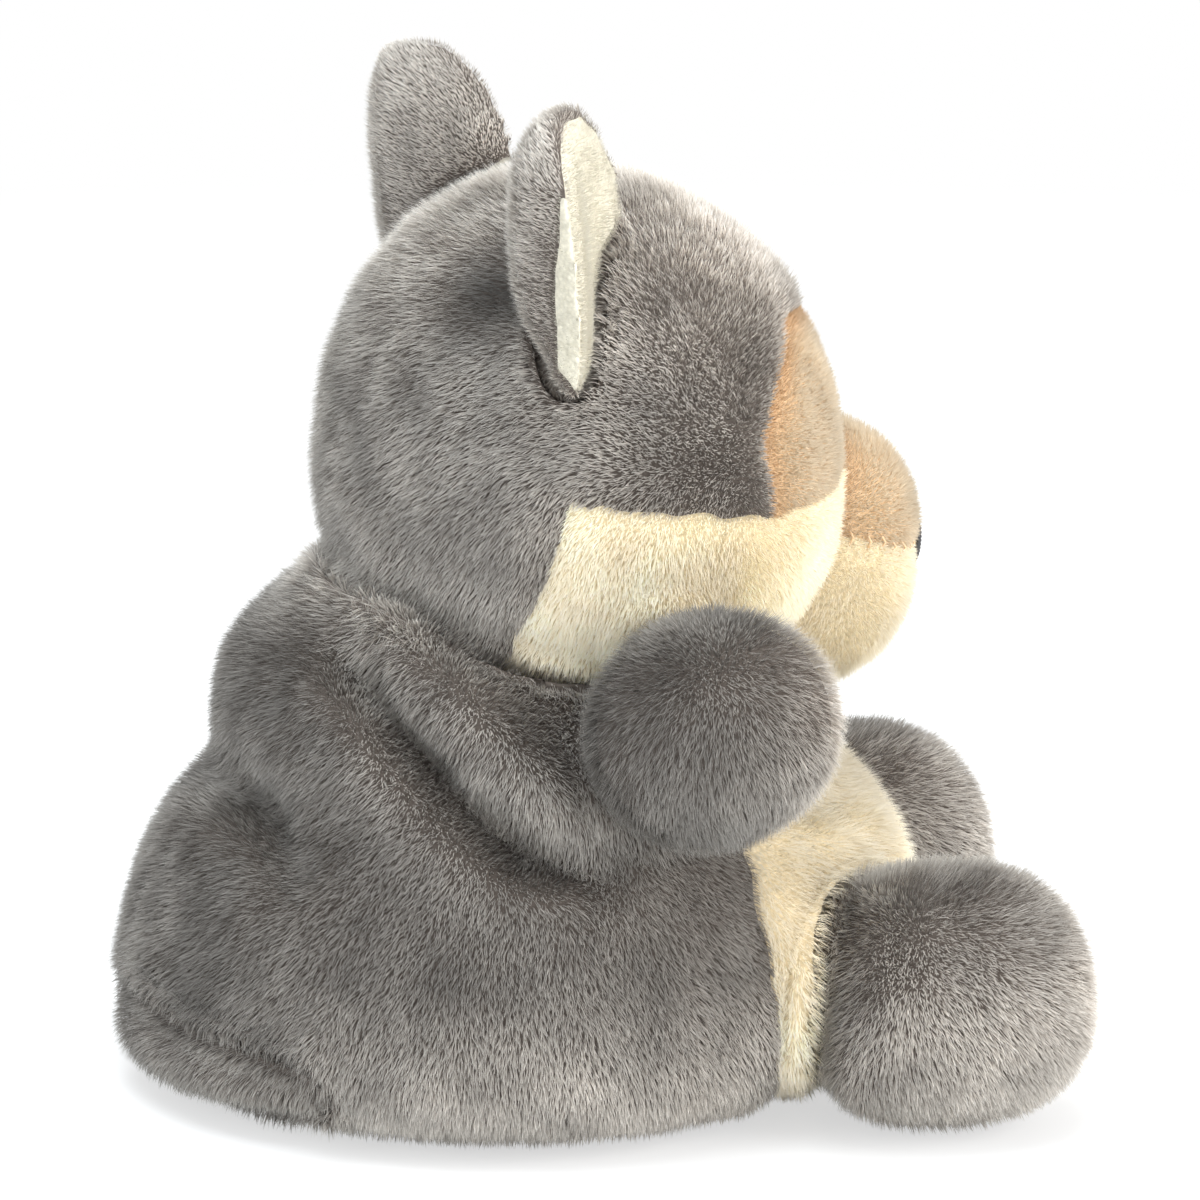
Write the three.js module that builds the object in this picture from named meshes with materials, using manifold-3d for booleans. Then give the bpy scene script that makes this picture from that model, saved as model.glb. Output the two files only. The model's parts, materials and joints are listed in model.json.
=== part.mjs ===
// A palm-size plush wolf that sits on a bean-filled seat: pile cloth panels sewn over stuffing.
// Millimetres, +Z up. The wolf faces -Y, its own right side is -X, and the origin is the middle of its seat.
import * as THREE from 'three';
import { mergeVertices } from 'three/addons/utils/BufferGeometryUtils.js';
import Module from 'manifold-3d';

const wasm = await Module();
wasm.setup();

// Cloth and clearances
const clothThickness = 2; // backing with its pressed pile
const seamGap = 0.3; // between panels, and between cloth and what it covers
const swingGap = 0.65; // round a part that turns in its seat

// Torso, from the seat up: height, half width, and reach behind and in front of the origin
const seatHalfWidth = 34;
const seatBack = 37;
const seatFront = 38;
const hemHeight = 5;
const hemHalfWidth = 45.5;
const hemBack = 48.5;
const hemFront = 46;
const hipHeight = 14;
const hipHalfWidth = 49;
const hipBack = 51;
const hipFront = 49.5;
const bellyHeight = 28;
const bellyHalfWidth = 47;
const bellyBack = 47;
const bellyFront = 50;
const waistHeight = 42;
const waistHalfWidth = 42;
const waistBack = 37.5;
const waistFront = 39;
const shoulderHeight = 54;
const shoulderHalfWidth = 37;
const shoulderBack = 36.5;
const shoulderFront = 27;
const neckHeight = 65;
const neckHalfWidth = 26;
const neckBack = 26;
const neckFront = 17;
const bellySeamLow = 27.5; // how far forward the belly seam runs, up to the hip
const bellySeamHigh = 20; // and at the neck
const pouchHeight = 16; // top of the pellet pouch inside the seat

// Head, about the upright axis that it turns on
const headForward = 7;
const headTurnDegrees = 12; // at rest the head looks to its own left
const headTurnLow = -12; // how far it turns from there to its right
const headTurnHigh = 6; // and further to its left
const headHeight = 76;
const headHalfWidth = 39.5;
const headFront = 33.3;
const headBack = 31.7;
const headRise = 38.5;
const headDrop = 28.5;
const headFullness = 2.12; // 2 is an ellipse, more is squarer

// Muzzle
const muzzleForward = 28;
const muzzleHeight = 66;
const muzzleHalfWidth = 19;
const muzzleDepth = 17.5;
const muzzleRise = 15.5;
const muzzleDrop = 19.5;
const muzzleFullness = 2.4;
const muzzleSeamHeight = 70; // over the middle of the muzzle, from where it runs down to the nose

// Face panels in side view: forward of the head's axis, and height
const cheekRearTopForward = -12;
const cheekRearTopHeight = 80;
const cheekRearLowForward = -17;
const cheekRearLowHeight = 58;
const cheekFrontTopForward = 14;
const cheekFrontTopHeight = 76.5;
const eyePatchRearForward = 12.5;
const eyePatchRearHeight = 86;
const eyePatchTopForward = 20;
const eyePatchTopHeight = 98;
const eyePatchBrowForward = 34;
const eyePatchBrowHeight = 95;
const blazeHalfWidth = 3.5; // grey stripe between the eye patches

// Eyes and nose
const eyeSpacing = 16;
const eyeHeight = 90;
const eyeRadius = 3.75;
const eyeBulge = 1.5;
const eyeSink = 1.9; // how far the button is drawn into the pile
const postRadius = 1.4;
const postLength = 6;
const washerRadius = 4.4;
const washerThickness = 1.2;
const washerDepth = clothThickness + seamGap; // from the pile's outer face to the washer
const noseHalfWidth = 6;
const noseHalfHeight = 3.4;
const noseHeight = 64;
const noseThickness = 0.5;

// Ears, placed by the middle of the base line that they fold on
const earOut = 25;
const earBack = 9;
const earHeight = 104;
const earHalfWidth = 13.5;
const earRise = 22.5;
const earDrop = 13;
const earBackThickness = 3.6;
const earLiningThickness = 2.4;
const earLiningInset = 1.6; // the grey back laps the rim of the lining
const earCup = 4.5;
const earLeanDegrees = 12; // outward from upright
const earFaceLeftDegrees = 20; // outward from straight ahead
const earFaceRightDegrees = 32; // this ear is pressed further round
const earBaseDegrees = 41; // slope of the base line, down and outward
const earFoldDegrees = 12; // to either side of rest

// Arms and legs: a ball that sits in a hollow of the torso, drawn out to a rounded paw
const armOut = 47;
const armForward = 16.3;
const armHeight = 54.5;
const armRadius = 14.6;
const armTip = 18.5;
const armAimOutDegrees = 54; // outward from straight ahead
const armAimUpDegrees = 25;
const legOut = 33;
const legForward = 47;
const legRadius = 17.6;
const legUnder = 16.2; // from the leg's middle down to its sole
const legFlat = 0.5; // how much of the sole the floor flattens
const legTip = 20.5;
const legAimOutDegrees = 6;
const legAimUpDegrees = 8;
const pawFullness = 2.5;
const stuffingHole = 5; // radius of the opening that a limb is filled through

// Tail, curled round the right of the seat
const tailHeight = 8.2;
const tailRadius = 6.2;
const tailTuck = 6; // from the torso's hip line in to the tail's middle
const tailSweepDegrees = 50;
const tailTip = 3.4; // radius just before the rounded end
const tailSwingRoom = 10; // how far outwards its groove in the torso stays open

// Facets: the lining and the stuffing of a form take half the sides and half the steps of its outside
const bodySides = 20;
const torsoSteps = 12;
const headSteps = 10;
const limbSides = 16;
const limbSteps = 8;
const earSteps = 8;
const smallSides = 10;

const up = new THREE.Vector3(0, 0, 1);
const right = new THREE.Vector3(1, 0, 0);
const degrees = THREE.MathUtils.degToRad;
const hands = [
  ['left', 1],
  ['right', -1],
];

// A point given as sideways, forward and height.
function point(sideways, forward, height) {
  return new THREE.Vector3(sideways, -forward, height);
}

// A closed skin over rings of points, with one point at each end.
function skin(rings, first, last) {
  const sides = rings[0].length;
  const points = [first, ...rings.flat(), last];
  const end = points.length - 1;
  const top = rings.length - 1;
  const at = (ring, side) => 1 + ring * sides + (side % sides);
  const faces = [];
  for (let side = 0; side < sides; side++) {
    faces.push(0, at(0, side + 1), at(0, side));
    for (let ring = 0; ring < top; ring++) {
      faces.push(at(ring, side), at(ring, side + 1), at(ring + 1, side + 1));
      faces.push(at(ring, side), at(ring + 1, side + 1), at(ring + 1, side));
    }
    faces.push(end, at(top, side), at(top, side + 1));
  }
  return new THREE.BufferGeometry().setFromPoints(points).setIndex(faces);
}

// An oval of points round a centre, with its own reach on either side of the across line.
function oval(centre, across, ahead, behind, sides) {
  const points = [];
  for (let side = 0; side < sides; side++) {
    const angle = (2 * Math.PI * side) / sides;
    const reach = Math.sin(angle) > 0 ? behind : ahead;
    const spot = centre.clone().addScaledVector(across, Math.cos(angle));
    points.push(spot.addScaledVector(reach, Math.abs(Math.sin(angle))));
  }
  return points;
}

// A plump rounded form on three square axes, with its own half length on each side of its centre.
function plump(form, grow = 0, bend = (spot) => spot) {
  const { centre, along, across, halfWidth, front, back, start, end, steps, sides } = form;
  const behind = new THREE.Vector3().crossVectors(along, across);
  const rings = [];
  for (let step = 1; step < steps; step++) {
    const angle = Math.PI * (step / steps - 0.5);
    const power = angle < 0 && form.ballStart ? 1 : 2 / form.fullness;
    const slim = Math.cos(angle) ** power;
    const rise = Math.sign(angle) * Math.abs(Math.sin(angle)) ** power;
    const reach = rise > 0 ? end : start;
    const ring = oval(
      centre.clone().addScaledVector(along, rise * (reach + grow)),
      across.clone().multiplyScalar((halfWidth + grow) * slim),
      behind.clone().multiplyScalar(-(front + grow) * slim),
      behind.clone().multiplyScalar((back + grow) * slim),
      sides,
    );
    rings.push(ring.map(bend));
  }
  const first = bend(centre.clone().addScaledVector(along, -start - grow));
  const last = bend(centre.clone().addScaledVector(along, end + grow));
  return skin(rings, first, last);
}

function coarse(form) {
  return { ...form, sides: form.sides / 2, steps: form.steps / 2 };
}

// The hollow inside a form's cloth, or with a gap its stuffing.
function inside(form, gap = 0) {
  return solid(plump(coarse(form), -clothThickness - gap));
}

// A closed geometry as a solid, with its faces turned outwards.
function solid(geometry) {
  const bare = geometry.clone();
  bare.deleteAttribute('normal');
  bare.deleteAttribute('uv');
  const merged = mergeVertices(bare);
  const vertProperties = new Float32Array(merged.attributes.position.array);
  const triVerts = new Uint32Array(merged.index.array);
  const made = new wasm.Manifold(new wasm.Mesh({ numProp: 3, vertProperties, triVerts }));
  if (made.volume() > 0) {
    return made;
  }
  triVerts.reverse();
  return new wasm.Manifold(new wasm.Mesh({ numProp: 3, vertProperties, triVerts }));
}

// One solid that holds a geometry at several angles about an axis through a spot.
function swept(geometry, spot, axis, angles) {
  const copies = angles.map((angle) => {
    const turned = geometry.clone().translate(-spot.x, -spot.y, -spot.z);
    turned.applyMatrix4(new THREE.Matrix4().makeRotationAxis(axis, degrees(angle)));
    return solid(turned.translate(spot.x, spot.y, spot.z));
  });
  return copies.reduce((whole, copy) => whole.add(copy));
}

// A side-view outline, as forward and height, carried from one sideways place to another.
function sideBlock(outline, from, to) {
  const shape = new THREE.Shape(outline.map(([forward, height]) => new THREE.Vector2(forward, height)));
  const geometry = new THREE.ExtrudeGeometry(shape, { depth: to - from, bevelEnabled: false });
  const place = new THREE.Matrix4().makeBasis(point(0, 1, 0), up, right.clone().negate());
  return solid(geometry.applyMatrix4(place.setPosition(to, 0, 0)));
}

// A side-view outline moved outwards all round. Its corners are listed counter-clockwise.
function widened(outline, by) {
  const corners = outline.map(([forward, height]) => new THREE.Vector2(forward, height));
  return corners.map((corner, index) => {
    const before = corners.at(index - 1);
    const after = corners[(index + 1) % corners.length];
    const inward = corner.clone().sub(before).normalize();
    const outward = after.clone().sub(corner).normalize();
    const bisector = new THREE.Vector2(inward.y + outward.y, -inward.x - outward.x).normalize();
    const stretch = by / bisector.dot(new THREE.Vector2(inward.y, -inward.x));
    return corner.clone().addScaledVector(bisector, stretch).toArray();
  });
}

function cylinder(centre, direction, radius, length, sides) {
  const geometry = new THREE.CylinderGeometry(radius, radius, length, sides);
  const turn = new THREE.Quaternion().setFromUnitVectors(new THREE.Vector3(0, 1, 0), direction);
  return solid(geometry.applyQuaternion(turn).translate(centre.x, centre.y, centre.z));
}

// Finishes
const greyPile = { color: 0x77726c, roughness: 0.95, metalness: 0 };
const creamPile = { color: 0xead9b4, roughness: 0.95, metalness: 0 };
const tanPile = { color: 0xd9b283, roughness: 0.95, metalness: 0 };
const whitePile = { color: 0xe8e2cc, roughness: 0.95, metalness: 0 };
const fibreFill = { color: 0xf4f3ef, roughness: 1, metalness: 0 };
const pelletFill = { color: 0xd8d6cf, roughness: 0.7, metalness: 0 };
const blackPlastic = { color: 0x0d0c0c, roughness: 0.12, metalness: 0 };
const washerPlastic = { color: 0xe6e4de, roughness: 0.45, metalness: 0 };
const darkThread = { color: 0x2b2a2d, roughness: 0.6, metalness: 0 };

const wolf = new THREE.Group();
const head = new THREE.Group();
head.position.copy(point(0, headForward, 0));
head.rotation.z = degrees(headTurnDegrees);
head.updateMatrix();
wolf.add(head);

function addPiece(group, name, piece, finish) {
  const { vertProperties, triVerts } = piece.getMesh();
  const geometry = new THREE.BufferGeometry();
  geometry.setAttribute('position', new THREE.BufferAttribute(new Float32Array(vertProperties), 3));
  geometry.setIndex(new THREE.BufferAttribute(new Uint32Array(triVerts), 1));
  geometry.computeVertexNormals();
  const mesh = new THREE.Mesh(geometry, new THREE.MeshStandardMaterial(finish));
  mesh.name = name;
  group.add(mesh);
}

// Head and muzzle, in the head's own frame
const headForm = {
  centre: point(0, 0, headHeight),
  along: up,
  across: right,
  halfWidth: headHalfWidth,
  front: headFront,
  back: headBack,
  start: headDrop,
  end: headRise,
  fullness: headFullness,
  steps: headSteps,
  sides: bodySides,
};
const muzzleForm = {
  centre: point(0, muzzleForward, muzzleHeight),
  along: up,
  across: right,
  halfWidth: muzzleHalfWidth,
  front: muzzleDepth,
  back: muzzleDepth,
  start: muzzleDrop,
  end: muzzleRise,
  fullness: muzzleFullness,
  steps: limbSteps,
  sides: limbSides,
};
const headClear = solid(plump(headForm, seamGap));
const muzzleHollow = inside(muzzleForm);
let headShell = solid(plump(headForm)).subtract(inside(headForm)).subtract(muzzleHollow);
let headFill = inside(headForm, seamGap).add(inside(muzzleForm, seamGap));

// The spot on the head's front at a distance from its middle and a height, and the way it faces.
function facePlace(sideways, height) {
  const spotAt = (across, level) => {
    const slim = (1 - ((level - headHeight) / headRise) ** headFullness) ** (1 / headFullness);
    return point(across, headFront * Math.sqrt(slim ** 2 - (across / headHalfWidth) ** 2), level);
  };
  const acrossStep = spotAt(sideways + seamGap, height).sub(spotAt(sideways - seamGap, height));
  const upStep = spotAt(sideways, height + seamGap).sub(spotAt(sideways, height - seamGap));
  const facing = new THREE.Vector3().crossVectors(acrossStep, upStep).normalize();
  return { spot: spotAt(sideways, height), facing };
}

// Eyes: a domed button drawn into the pile, whose post goes through the cloth into a washer
const buttonBase = seamGap - eyeSink;
const domeSteps = 4;
const buttonProfile = [
  [0, -postLength],
  [postRadius, -postLength],
  [postRadius, buttonBase],
].map(([radius, height]) => new THREE.Vector2(radius, height));
for (let step = 0; step < domeSteps; step++) {
  const angle = (Math.PI / 2) * (step / domeSteps);
  const height = buttonBase + eyeBulge * Math.sin(angle);
  buttonProfile.push(new THREE.Vector2(eyeRadius * Math.cos(angle), height));
}
buttonProfile.push(new THREE.Vector2(0, buttonBase + eyeBulge));

for (const [hand, side] of hands) {
  const { spot, facing } = facePlace((side * eyeSpacing) / 2, eyeHeight);
  const drilled = (from, to, radius) => {
    const middle = spot.clone().addScaledVector(facing, -(from + to) / 2);
    return cylinder(middle, facing, radius, to - from, smallSides);
  };
  const turn = new THREE.Quaternion().setFromUnitVectors(new THREE.Vector3(0, 1, 0), facing);
  const button = new THREE.LatheGeometry(buttonProfile, smallSides).applyQuaternion(turn);
  addPiece(head, `eye_${hand}`, solid(button.translate(spot.x, spot.y, spot.z)), blackPlastic);

  const postHole = drilled(-eyeBulge, postLength + seamGap, postRadius + seamGap);
  const washer = drilled(washerDepth, washerDepth + washerThickness, washerRadius).subtract(postHole);
  addPiece(head, `eye_washer_${hand}`, washer, washerPlastic);
  const washerRoom = (from) => drilled(from, washerDepth + washerThickness + seamGap, washerRadius + seamGap);
  const buttonSeat = drilled(-eyeBulge, eyeSink, eyeRadius + seamGap);
  headShell = headShell.subtract(postHole).subtract(buttonSeat).subtract(washerRoom(clothThickness));
  headFill = headFill.subtract(postHole).subtract(washerRoom(0));
}
addPiece(head, 'head_fill', headFill, fibreFill);

// Ears: a grey back and a pale lining, cupped forwards, that fold on a sloping base line
function earPlace(side) {
  const face = degrees(side > 0 ? earFaceLeftDegrees : earFaceRightDegrees);
  const facing = point(side * Math.sin(face), Math.cos(face), 0);
  const outward = point(side * Math.cos(face), -Math.sin(face), 0);
  const tilted = (tilt) => {
    const level = outward.clone().multiplyScalar(Math.cos(tilt));
    return level.addScaledVector(up, -Math.sin(tilt));
  };
  const lean = degrees(earLeanDegrees);
  return {
    centre: point(side * earOut, -earBack, earHeight),
    facing,
    across: tilted(lean),
    along: tilted(lean - Math.PI / 2),
    fold: tilted(degrees(earBaseDegrees)),
  };
}

function earLayer(place, side, { front, back, inset, shift }, grow) {
  const cupped = (spot) => {
    const share = spot.clone().sub(place.centre).dot(place.across) / earHalfWidth;
    return spot.addScaledVector(place.facing, earCup * share ** 2 + shift);
  };
  const form = {
    centre: place.centre,
    along: place.along,
    across: place.across.clone().multiplyScalar(side),
    halfWidth: earHalfWidth - inset,
    front,
    back,
    start: earDrop,
    end: earRise - inset,
    fullness: pawFullness,
    steps: earSteps,
    sides: smallSides,
  };
  return plump(form, grow, cupped);
}

const earBackLayer = { front: 0, back: earBackThickness, inset: 0, shift: 0 };
const earLiningLayer = { front: earLiningThickness, back: 0, inset: earLiningInset, shift: seamGap };
const earWhole = { front: earLiningThickness + seamGap, back: earBackThickness, inset: 0, shift: 0 };
const earRoom = [];
for (const [hand, side] of hands) {
  const place = earPlace(side);
  const layer = (shape) => solid(earLayer(place, side, shape, 0)).subtract(headClear);
  addPiece(head, `ear_back_${hand}`, layer(earBackLayer), greyPile);
  addPiece(head, `ear_lining_${hand}`, layer(earLiningLayer), whitePile);
  const whole = earLayer(place, side, earWhole, seamGap);
  earRoom.push(swept(whole, place.centre, place.fold, [-earFoldDegrees, 0, earFoldDegrees]));
}

// Head panels: cheeks, eye patches, and the grey crown that is left
const far = 2 * (headHalfWidth + muzzleDepth);
const cheekOutline = [
  [cheekRearTopForward, cheekRearTopHeight],
  [cheekRearLowForward, cheekRearLowHeight],
  [cheekRearLowForward, headHeight - far],
  [far, headHeight - far],
  [far, cheekFrontTopHeight],
  [cheekFrontTopForward, cheekFrontTopHeight],
];
const eyePatchOutline = [
  [cheekFrontTopForward, cheekFrontTopHeight + seamGap],
  [far, cheekFrontTopHeight + seamGap],
  [far, eyePatchBrowHeight],
  [eyePatchBrowForward, eyePatchBrowHeight],
  [eyePatchTopForward, eyePatchTopHeight],
  [eyePatchRearForward, eyePatchRearHeight],
];
let crown = headShell;
for (const [hand, side] of hands) {
  const block = (outline, from) => sideBlock(outline, ...(side > 0 ? [from, far] : [-far, -from]));
  addPiece(head, `cheek_${hand}`, headShell.intersect(block(cheekOutline, seamGap / 2)), creamPile);
  addPiece(head, `eye_patch_${hand}`, headShell.intersect(block(eyePatchOutline, blazeHalfWidth)), tanPile);
  crown = crown.subtract(block(widened(cheekOutline, seamGap), -seamGap));
  crown = crown.subtract(block(widened(eyePatchOutline, seamGap), blazeHalfWidth - seamGap));
}
addPiece(head, 'head_crown', earRoom.reduce((rest, room) => rest.subtract(room), crown), greyPile);

function slab(low, high) {
  return sideBlock([[-far, low], [far, low], [far, high], [-far, high]], -far, far);
}

const muzzleTopOutline = [
  [-far, muzzleSeamHeight],
  [muzzleForward, muzzleSeamHeight],
  [muzzleForward + muzzleDepth, noseHeight],
  [far, noseHeight],
  [far, far],
  [-far, far],
];
const muzzleShell = solid(plump(muzzleForm)).subtract(muzzleHollow).subtract(headClear);
const muzzleChin = muzzleShell.subtract(sideBlock(widened(muzzleTopOutline, seamGap), -far, far));
addPiece(head, 'muzzle_top', muzzleShell.intersect(sideBlock(muzzleTopOutline, -far, far)), tanPile);
addPiece(head, 'muzzle_chin', muzzleChin, creamPile);

// Nose: a satin-stitched pad on the muzzle's front
const noseShape = new THREE.Shape().absellipse(0, 0, noseHalfWidth, noseHalfHeight, 0, 2 * Math.PI);
const noseBlock = new THREE.ExtrudeGeometry(noseShape, {
  depth: far,
  bevelEnabled: false,
  curveSegments: smallSides,
});
noseBlock.rotateX(Math.PI / 2).translate(0, -muzzleForward, noseHeight);
const noseUnder = solid(plump(muzzleForm, seamGap));
const nosePad = solid(plump(muzzleForm, seamGap + noseThickness)).subtract(noseUnder);
addPiece(head, 'nose_embroidery', nosePad.intersect(solid(noseBlock)), darkThread);

// Hollows in the torso for what turns in it: close ones in its cloth, and rougher, wider ones in its stuffing
const clothHollows = [];
const stuffingHollows = [];
const stuffingSwingGap = swingGap + 2 * clothThickness;

function hollowFor(form, carve = solid) {
  clothHollows.push(carve(plump(form, swingGap)));
  stuffingHollows.push(carve(plump(coarse(form), stuffingSwingGap)));
}

// Arms and legs
function addLimb(name, hand, form) {
  const root = form.centre.clone().addScaledVector(form.along, -form.start);
  const hole = cylinder(root, form.along, stuffingHole, form.start, smallSides);
  const cover = solid(plump(form)).subtract(inside(form)).subtract(hole).subtract(slab(-far, 0));
  addPiece(wolf, `${name}_cover_${hand}`, cover, greyPile);
  addPiece(wolf, `${name}_fill_${hand}`, inside(form, seamGap), fibreFill);
  hollowFor({ ...form, front: form.back });
}

for (const [hand, side] of hands) {
  const limb = (centre, outDegrees, upDegrees, radius, under, tip) => {
    const level = Math.cos(degrees(upDegrees));
    const outward = side * Math.sin(degrees(outDegrees));
    const along = point(level * outward, level * Math.cos(degrees(outDegrees)), Math.sin(degrees(upDegrees)));
    return {
      centre,
      along,
      across: new THREE.Vector3().crossVectors(up, along).normalize(),
      halfWidth: radius,
      front: under,
      back: radius,
      start: radius,
      end: tip,
      fullness: pawFullness,
      ballStart: true,
      steps: limbSteps,
      sides: limbSides,
    };
  };
  const shoulder = point(side * armOut, armForward, armHeight);
  const hip = point(side * legOut, legForward, legUnder - legFlat);
  addLimb('arm', hand, limb(shoulder, armAimOutDegrees, armAimUpDegrees, armRadius, armRadius, armTip));
  addLimb('leg', hand, limb(hip, legAimOutDegrees, legAimUpDegrees, legRadius, legUnder, legTip));
}

// Tail: a ball at the middle of the back, drawn out along the seat's edge to a rounded tip
function tailSkin(grow, room, sides) {
  const tailSteps = 6;
  const path = (step) => {
    const angle = degrees((tailSweepDegrees * step) / tailSteps);
    const sideways = -(hipHalfWidth - tailTuck) * Math.sin(angle);
    return point(sideways, -(hipBack - tailTuck) * Math.cos(angle), tailHeight);
  };
  const heading = (step) => path(step + 0.1).sub(path(step - 0.1)).normalize();
  const rings = [];
  const addRing = (step, ahead, radius) => {
    const outward = new THREE.Vector3().crossVectors(heading(step), up);
    rings.push(
      oval(
        path(step).addScaledVector(heading(step), ahead),
        up.clone().multiplyScalar(radius),
        outward.clone().multiplyScalar(radius + room),
        outward.clone().multiplyScalar(-radius),
        sides,
      ),
    );
  };
  const capAngles = [30, 60].map(degrees);
  const rootRadius = tailRadius + grow;
  const tipRadius = tailTip + grow;
  for (const angle of capAngles.toReversed()) {
    addRing(0, -rootRadius * Math.sin(angle), rootRadius * Math.cos(angle));
  }
  for (let step = 0; step <= tailSteps; step++) {
    addRing(step, 0, THREE.MathUtils.lerp(rootRadius, tipRadius, (step / tailSteps) ** 2));
  }
  for (const angle of capAngles) {
    addRing(tailSteps, tipRadius * Math.sin(angle), tipRadius * Math.cos(angle));
  }
  const first = path(0).addScaledVector(heading(0), -rootRadius);
  const last = path(tailSteps).addScaledVector(heading(tailSteps), tipRadius);
  return skin(rings, first, last);
}

const tailRoot = point(tailRadius, -(hipBack - tailTuck), tailHeight);
const tailHole = cylinder(tailRoot, right, tailTip, tailRadius, smallSides);
const tailLining = solid(tailSkin(-clothThickness, 0, smallSides / 2));
const tailCover = solid(tailSkin(0, 0, smallSides)).subtract(tailLining).subtract(tailHole);
addPiece(wolf, 'tail_cover', tailCover, greyPile);
addPiece(wolf, 'tail_fill', solid(tailSkin(-clothThickness - seamGap, 0, smallSides / 2)), fibreFill);
clothHollows.push(solid(tailSkin(swingGap, tailSwingRoom, smallSides)));
stuffingHollows.push(solid(tailSkin(stuffingSwingGap, tailSwingRoom, smallSides / 2)));

// Torso, hollowed for everything that turns against it
const torsoStations = [
  [0, seatHalfWidth, seatBack, seatFront],
  [hemHeight, hemHalfWidth, hemBack, hemFront],
  [hipHeight, hipHalfWidth, hipBack, hipFront],
  [bellyHeight, bellyHalfWidth, bellyBack, bellyFront],
  [waistHeight, waistHalfWidth, waistBack, waistFront],
  [shoulderHeight, shoulderHalfWidth, shoulderBack, shoulderFront],
  [neckHeight, neckHalfWidth, neckBack, neckFront],
];

function torsoSkin(grow, steps, sides) {
  const through = (points) => new THREE.CatmullRomCurve3(points, false, 'catmullrom');
  const widths = through(torsoStations.map(([height, wide]) => new THREE.Vector3(height, wide, 0)));
  const reaches = through(torsoStations.map(([, , back, front]) => new THREE.Vector3(back, front, 0)));
  const squeeze = (neckHeight + 2 * grow) / neckHeight;
  const rings = [];
  for (let step = 0; step <= steps; step++) {
    const { x: height, y: halfWidth } = widths.getPoint(step / steps);
    const { x: back, y: front } = reaches.getPoint(step / steps);
    rings.push(
      oval(
        point(0, 0, height * squeeze - grow),
        right.clone().multiplyScalar(halfWidth + grow),
        point(0, front + grow, 0),
        point(0, -back - grow, 0),
        sides,
      ),
    );
  }
  return skin(rings, point(0, 0, -grow), point(0, 0, neckHeight + grow));
}

function turning(shares) {
  const angles = shares.map((share) => THREE.MathUtils.lerp(headTurnLow, headTurnHigh, share));
  return (geometry) => swept(geometry.applyMatrix4(head.matrix), head.position, up, angles);
}

hollowFor(headForm, turning([0, 1 / 2, 1]));
hollowFor(muzzleForm, turning([0, 1 / 2, 1]));
const hollowed = (piece, hollows) => hollows.reduce((rest, hollow) => rest.subtract(hollow), piece);

const torsoLining = solid(torsoSkin(-clothThickness, torsoSteps / 2, bodySides / 2));
const torsoShell = solid(torsoSkin(0, torsoSteps, bodySides)).subtract(torsoLining);
const bellyOutline = [
  [bellySeamLow, -far],
  [far, -far],
  [far, neckHeight],
  [bellySeamHigh, neckHeight],
  [bellySeamLow, hipHeight],
];
const bellySide = sideBlock(widened(bellyOutline, seamGap), -far, far);
const bellyCloth = torsoShell.intersect(sideBlock(bellyOutline, -far, far));
addPiece(wolf, 'torso_cover', hollowed(torsoShell.subtract(bellySide), clothHollows), greyPile);
addPiece(wolf, 'belly_panel', hollowed(bellyCloth, clothHollows), creamPile);

const stuffing = solid(torsoSkin(-clothThickness - seamGap, torsoSteps / 2, bodySides / 2));
const pouch = stuffing.intersect(slab(0, pouchHeight));
const upperStuffing = stuffing.intersect(slab(pouchHeight + seamGap, far));
addPiece(wolf, 'pellet_pouch', hollowed(pouch, stuffingHollows), pelletFill);
addPiece(wolf, 'torso_fill', hollowed(upperStuffing, stuffingHollows), fibreFill);

export default wolf;
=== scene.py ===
# %% [markdown]
# # A plush wolf in pile cloth
# The frame holds a palm-size plush wolf as plain sewn forms. Here each form becomes a stuffed skin that
# carries short, dense pile, and the small hard pieces get a finish of their own. Everything is in metres and
# in the frame's axes: +Z is up, the wolf faces -Y, and its own right side is -X.

# %% Frame
import json
import math

import bmesh
import bpy
import numpy as np
from mathutils import Matrix, Vector
from mathutils.bvhtree import BVHTree
from mathutils.kdtree import KDTree

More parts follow.
